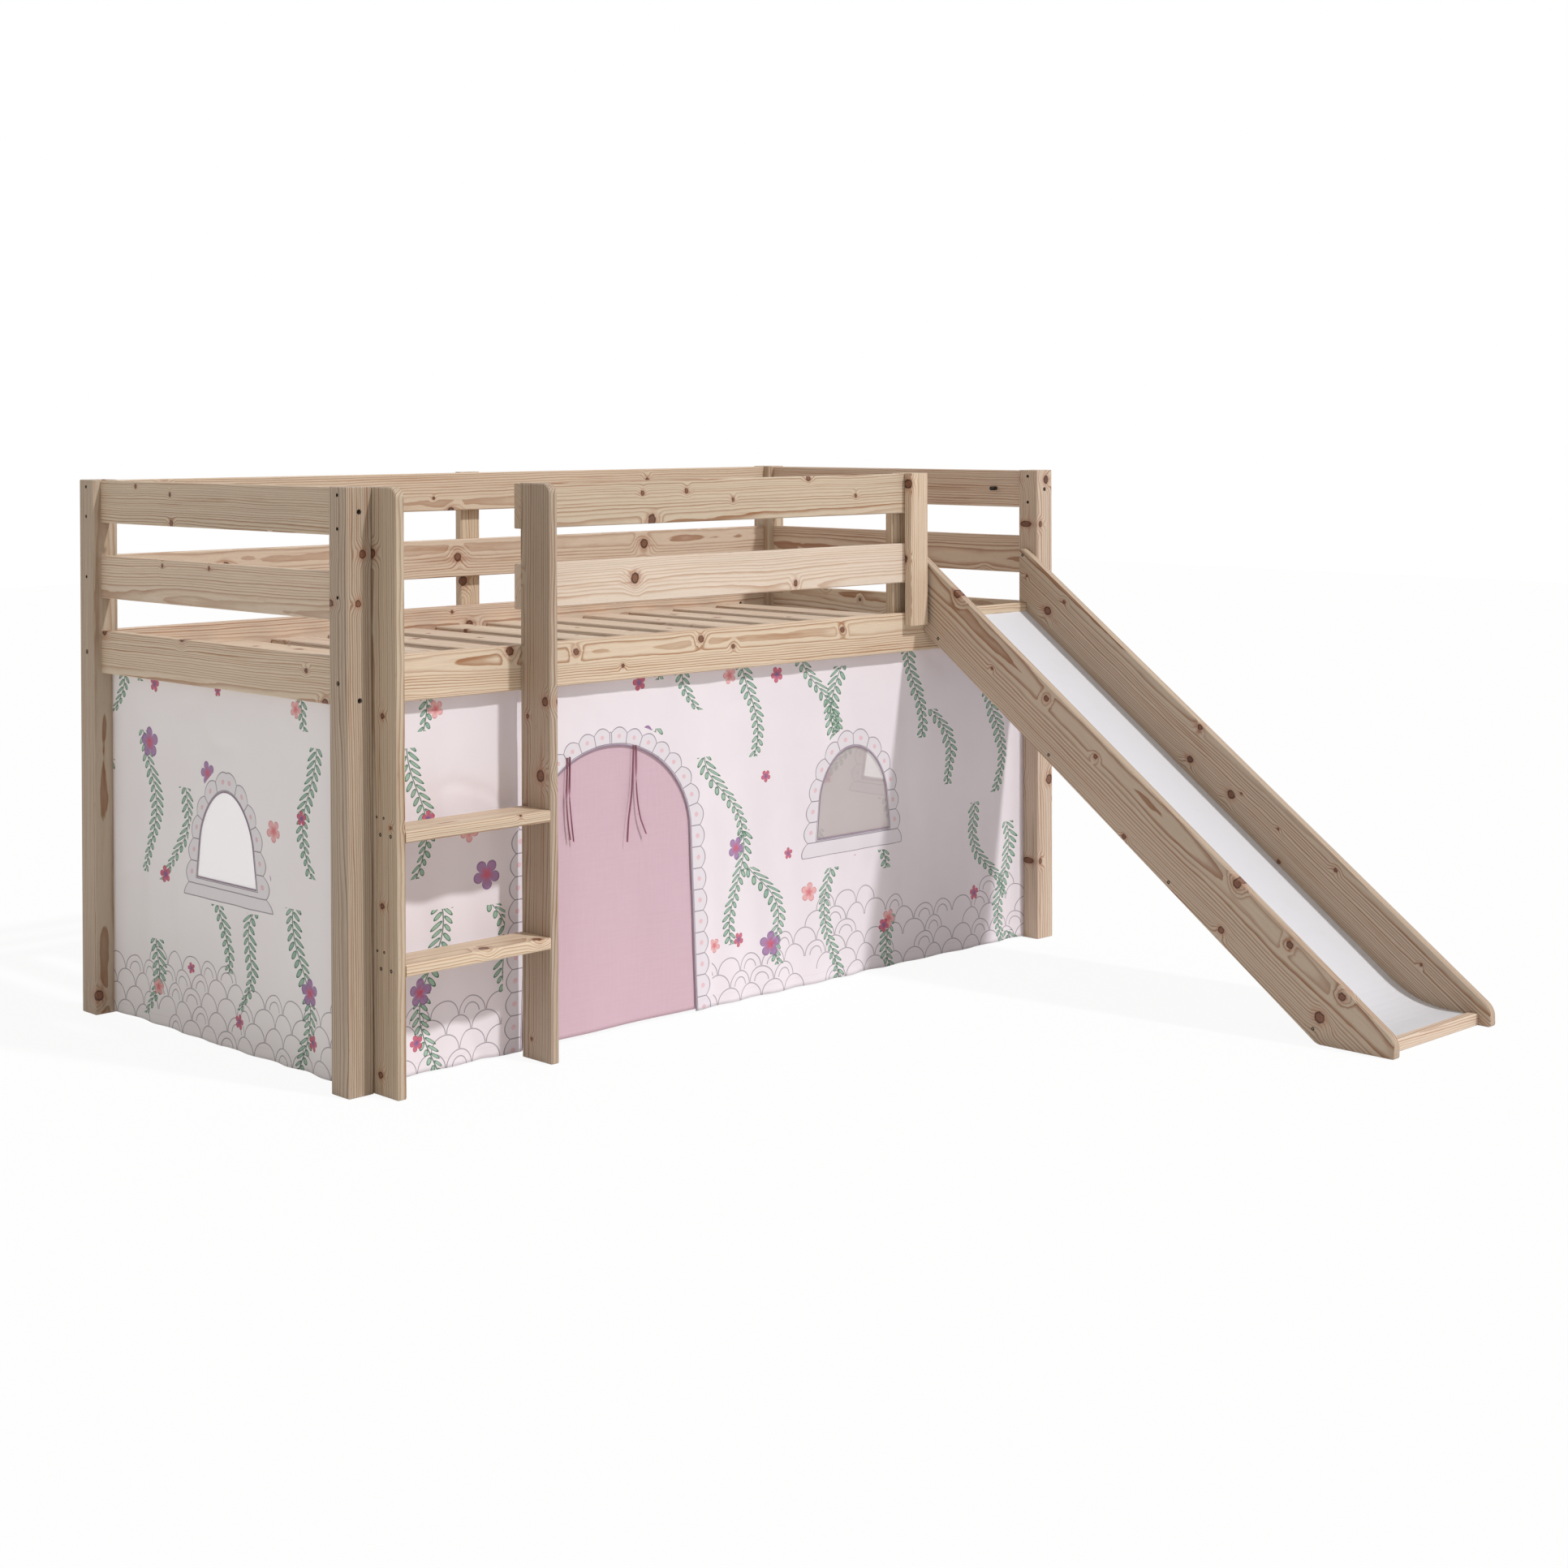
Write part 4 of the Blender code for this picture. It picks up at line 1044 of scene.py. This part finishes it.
def make_tape(side):
    node = f"hook_tape_{side}"
    low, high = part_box(node)
    size = high - low
    along, out = (axis_x, axis_y) if size.x > size.y else (axis_y, axis_x)
    finish = Finish(f"woven_tape_{side}")
    place = finish.place()
    run = project(place, along)
    up = project(place, axis_z)
    nap = grit(place, 1500, 3, 0.7)
    edge = abs(up - (low.z + high.z) / 2).above(size.z * 0.40)
    rib = (run * (math.tau / 0.0012)).sine()
    colour = mix(edge, linear(214, 208, 204), linear(232, 228, 224))
    finish.set(Base_Color=shade(colour, 1 + nap * 0.3), Roughness=0.92)
    finish.relief(0.5 + nap * 0.6 + rib * 0.2, 0.0004, 0.8)
    form = bmesh.new()
    length = size.dot(along)
    depth = size.dot(out)
    rings = []
    for index in range(tape_steps + 1):
        base = low + along * (length * index / tape_steps)
        ends = tape_end if index in (0, tape_steps) else 0
        ring = []
        for share_out, share_up in tape_section:
            rise = size.z * (share_up * (1 - 2 * ends / size.z)) + ends
            ring.append(form.verts.new(base + out * (depth * share_out) + axis_z * rise))
        rings.append(ring)
    loft(form, rings)
    tape = add_piece(f"hook_tape_{side}_strip", form, finish.material, smooth=False)
    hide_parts(node)


for side in ("front", "left", "right"):
    make_tape(side)

# Ties: flat ribbons that hang from the arch, on the routes of the part's own ties
tie_routes = {
    "tie_left_a": (
        (0.561, 0.0393, 0.579), (0.5606, 0.0392, 0.556), (0.5585, 0.0388, 0.5),
        (0.561, 0.038, 0.45), (0.5665, 0.0374, 0.412),
    ),
    "tie_left_b": (
        (0.568, 0.0393, 0.58), (0.5674, 0.0392, 0.56), (0.566, 0.0386, 0.5),
        (0.57, 0.0376, 0.45), (0.575, 0.037, 0.407),
    ),
    "tie_right_a": (
        (0.739, 0.0393, 0.588), (0.7384, 0.0392, 0.568), (0.733, 0.0386, 0.49),
        (0.7235, 0.0378, 0.435), (0.719, 0.037, 0.389),
    ),
    "tie_right_b": (
        (0.746, 0.0393, 0.5875), (0.7458, 0.0392, 0.568), (0.7462, 0.0384, 0.5),
        (0.754, 0.0376, 0.442), (0.771, 0.0368, 0.4),
    ),
}
ribbon_half_width = 0.0018
ribbon_half_thickness = 0.0006


def ribbon_finish():
    finish = Finish("rose_ribbon")
    place = finish.place()
    run = project(place, axis_z)
    nap = grit(place, 1100, 3, 0.6)
    rib = (run * (math.tau / 0.0011)).sine()
    colour = mix(0.5 + nap + rib * 0.15, linear(172, 120, 136), linear(150, 96, 114))
    finish.set(Base_Color=colour, Roughness=0.7 + nap * 0.2, Sheen_Weight=0.25)
    finish.relief(0.5 + rib * 0.3 + nap * 0.3, 0.0002, 0.8)
    return finish.material


def smooth_route(points, count):
    """A smooth curve through points, as many points evenly along it."""
    padded = [points[0] * 2 - points[1], *points, points[-1] * 2 - points[-2]]
    fine = []
    for index in range(1, len(padded) - 2):
        before, start, end, after = padded[index - 1:index + 3]
        for part in range(24):
            t = part / 24
            bend = 2 * before - 5 * start + 4 * end - after
            twist = 3 * start - before - 3 * end + after
            fine.append(0.5 * (2 * start + (end - before) * t + bend * t**2 + twist * t**3))
    fine.append(points[-1])
    lengths = [0.0]
    for first, second in zip(fine, fine[1:]):
        lengths.append(lengths[-1] + (second - first).length)
    result = []
    cursor = 0
    for index in range(count):
        target = lengths[-1] * index / (count - 1)
        while cursor < len(lengths) - 2 and lengths[cursor + 1] < target:
            cursor += 1
        span = lengths[cursor + 1] - lengths[cursor]
        result.append(fine[cursor].lerp(fine[cursor + 1], (target - lengths[cursor]) / span))
    return result, lengths[-1]


rose = ribbon_finish()
for name, route in tie_routes.items():
    points = [Vector((x + left, y + front, z)) for x, y, z in route]
    path, length = smooth_route(points, 18)
    curve = bpy.data.curves.new(f"{name}_ribbon", "CURVE")
    curve.dimensions = "3D"
    curve.extrude = ribbon_half_width
    curve.bevel_depth = ribbon_half_thickness
    curve.bevel_resolution = 2
    curve.use_fill_caps = True
    curve.twist_mode = "Z_UP"
    spline = curve.splines.new("POLY")
    spline.points.add(len(path) - 1)
    for point, position in zip(spline.points, path):
        point.co = (*position, 1)
        point.tilt = math.pi / 2
    ribbon = add_object(f"{name}_ribbon", curve)
    curve.materials.append(rose)
    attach(ribbon, "bed")
    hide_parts(name)


# Floor and sky, which are plain white wherever the camera, a reflection or clear cloth shows them
def seen_directly(tree):
    rays = tree.nodes.new("ShaderNodeLightPath").outputs
    kinds = ("Is Camera Ray", "Is Glossy Ray", "Is Transmission Ray")
    return reduce(Signal.most, [Signal(rays[kind]) for kind in kinds])


def mix_shaders(tree, factor, first, second, output):
    blend = tree.nodes.new("ShaderNodeMixShader")
    feed(blend.inputs[0], factor)
    tree.links.new(first.outputs[0], blend.inputs[1])
    tree.links.new(second.outputs[0], blend.inputs[2])
    tree.links.new(blend.outputs[0], output.inputs["Surface"])


def pale_floor():
    finish = Finish("pale_floor")
    tree = finish.tree
    speck = grit(finish.place(), 60, 3)
    finish.set(Base_Color=mix(speck + 0.5, linear(245, 245, 245), linear(247, 247, 247)), Roughness=0.9)
    finish.set(Specular_IOR_Level=0.05)
    glow = tree.nodes.new("ShaderNodeEmission")
    glow.inputs["Color"].default_value = (1, 1, 1, 1)
    output = tree.nodes["Material Output"]
    mix_shaders(tree, seen_directly(tree) * 0.92, finish.shader, glow, output)
    return finish.material


floor_form = bmesh.new()
bmesh.ops.create_grid(floor_form, x_segments=4, y_segments=4, size=14)
bmesh.ops.translate(floor_form, verts=floor_form.verts, vec=(0, 0, -0.0005))
floor = add_piece("floor", floor_form, pale_floor(), None)

# Light: a soft sun from the front and a little from the right, and a plain, slightly warm sky
sun_light = bpy.data.lights.new("key_sun", "SUN")
sun_light.energy = 2.08
sun_light.color = (0.985, 0.985, 1)
sun_light.angle = math.radians(3.2)
sun = add_object("key_sun", sun_light)
sun.rotation_euler = Vector((-0.33, 1.0, -1.18)).to_track_quat("-Z", "Y").to_euler()
world = bpy.context.scene.world or bpy.data.worlds.new("sky")
bpy.context.scene.world = world
world.use_nodes = True
tree = world.node_tree
tree.nodes.clear()
skies = []
for colour, strength in (((1, 0.968, 0.925, 1), 0.465), ((1, 1, 1, 1), 1)):
    sky = tree.nodes.new("ShaderNodeBackground")
    sky.inputs["Color"].default_value = colour
    sky.inputs["Strength"].default_value = strength
    skies.append(sky)
mix_shaders(tree, seen_directly(tree), *skies, tree.nodes.new("ShaderNodeOutputWorld"))

# Camera at the photograph's angle
camera_place = (-3.6736, -3.71635, 1.2594)
yaw = 0.7792
pitch = 0.0117
roll = -0.0029
camera_data = bpy.data.cameras.new("camera")
camera_data.lens = 56.75
camera_data.sensor_width = 36
camera_data.shift_y = -0.2126
camera_data.clip_end = 60
camera = add_object("camera", camera_data)
turn = Matrix.Rotation(-yaw, 4, "Z") @ Matrix.Rotation(math.pi / 2 - pitch, 4, "X")
camera.matrix_world = Matrix.Translation(camera_place) @ turn @ Matrix.Rotation(roll, 4, "Z")
bpy.context.scene.camera = camera
bpy.context.scene.view_settings.view_transform = "Standard"

bpy.context.view_layer.update()
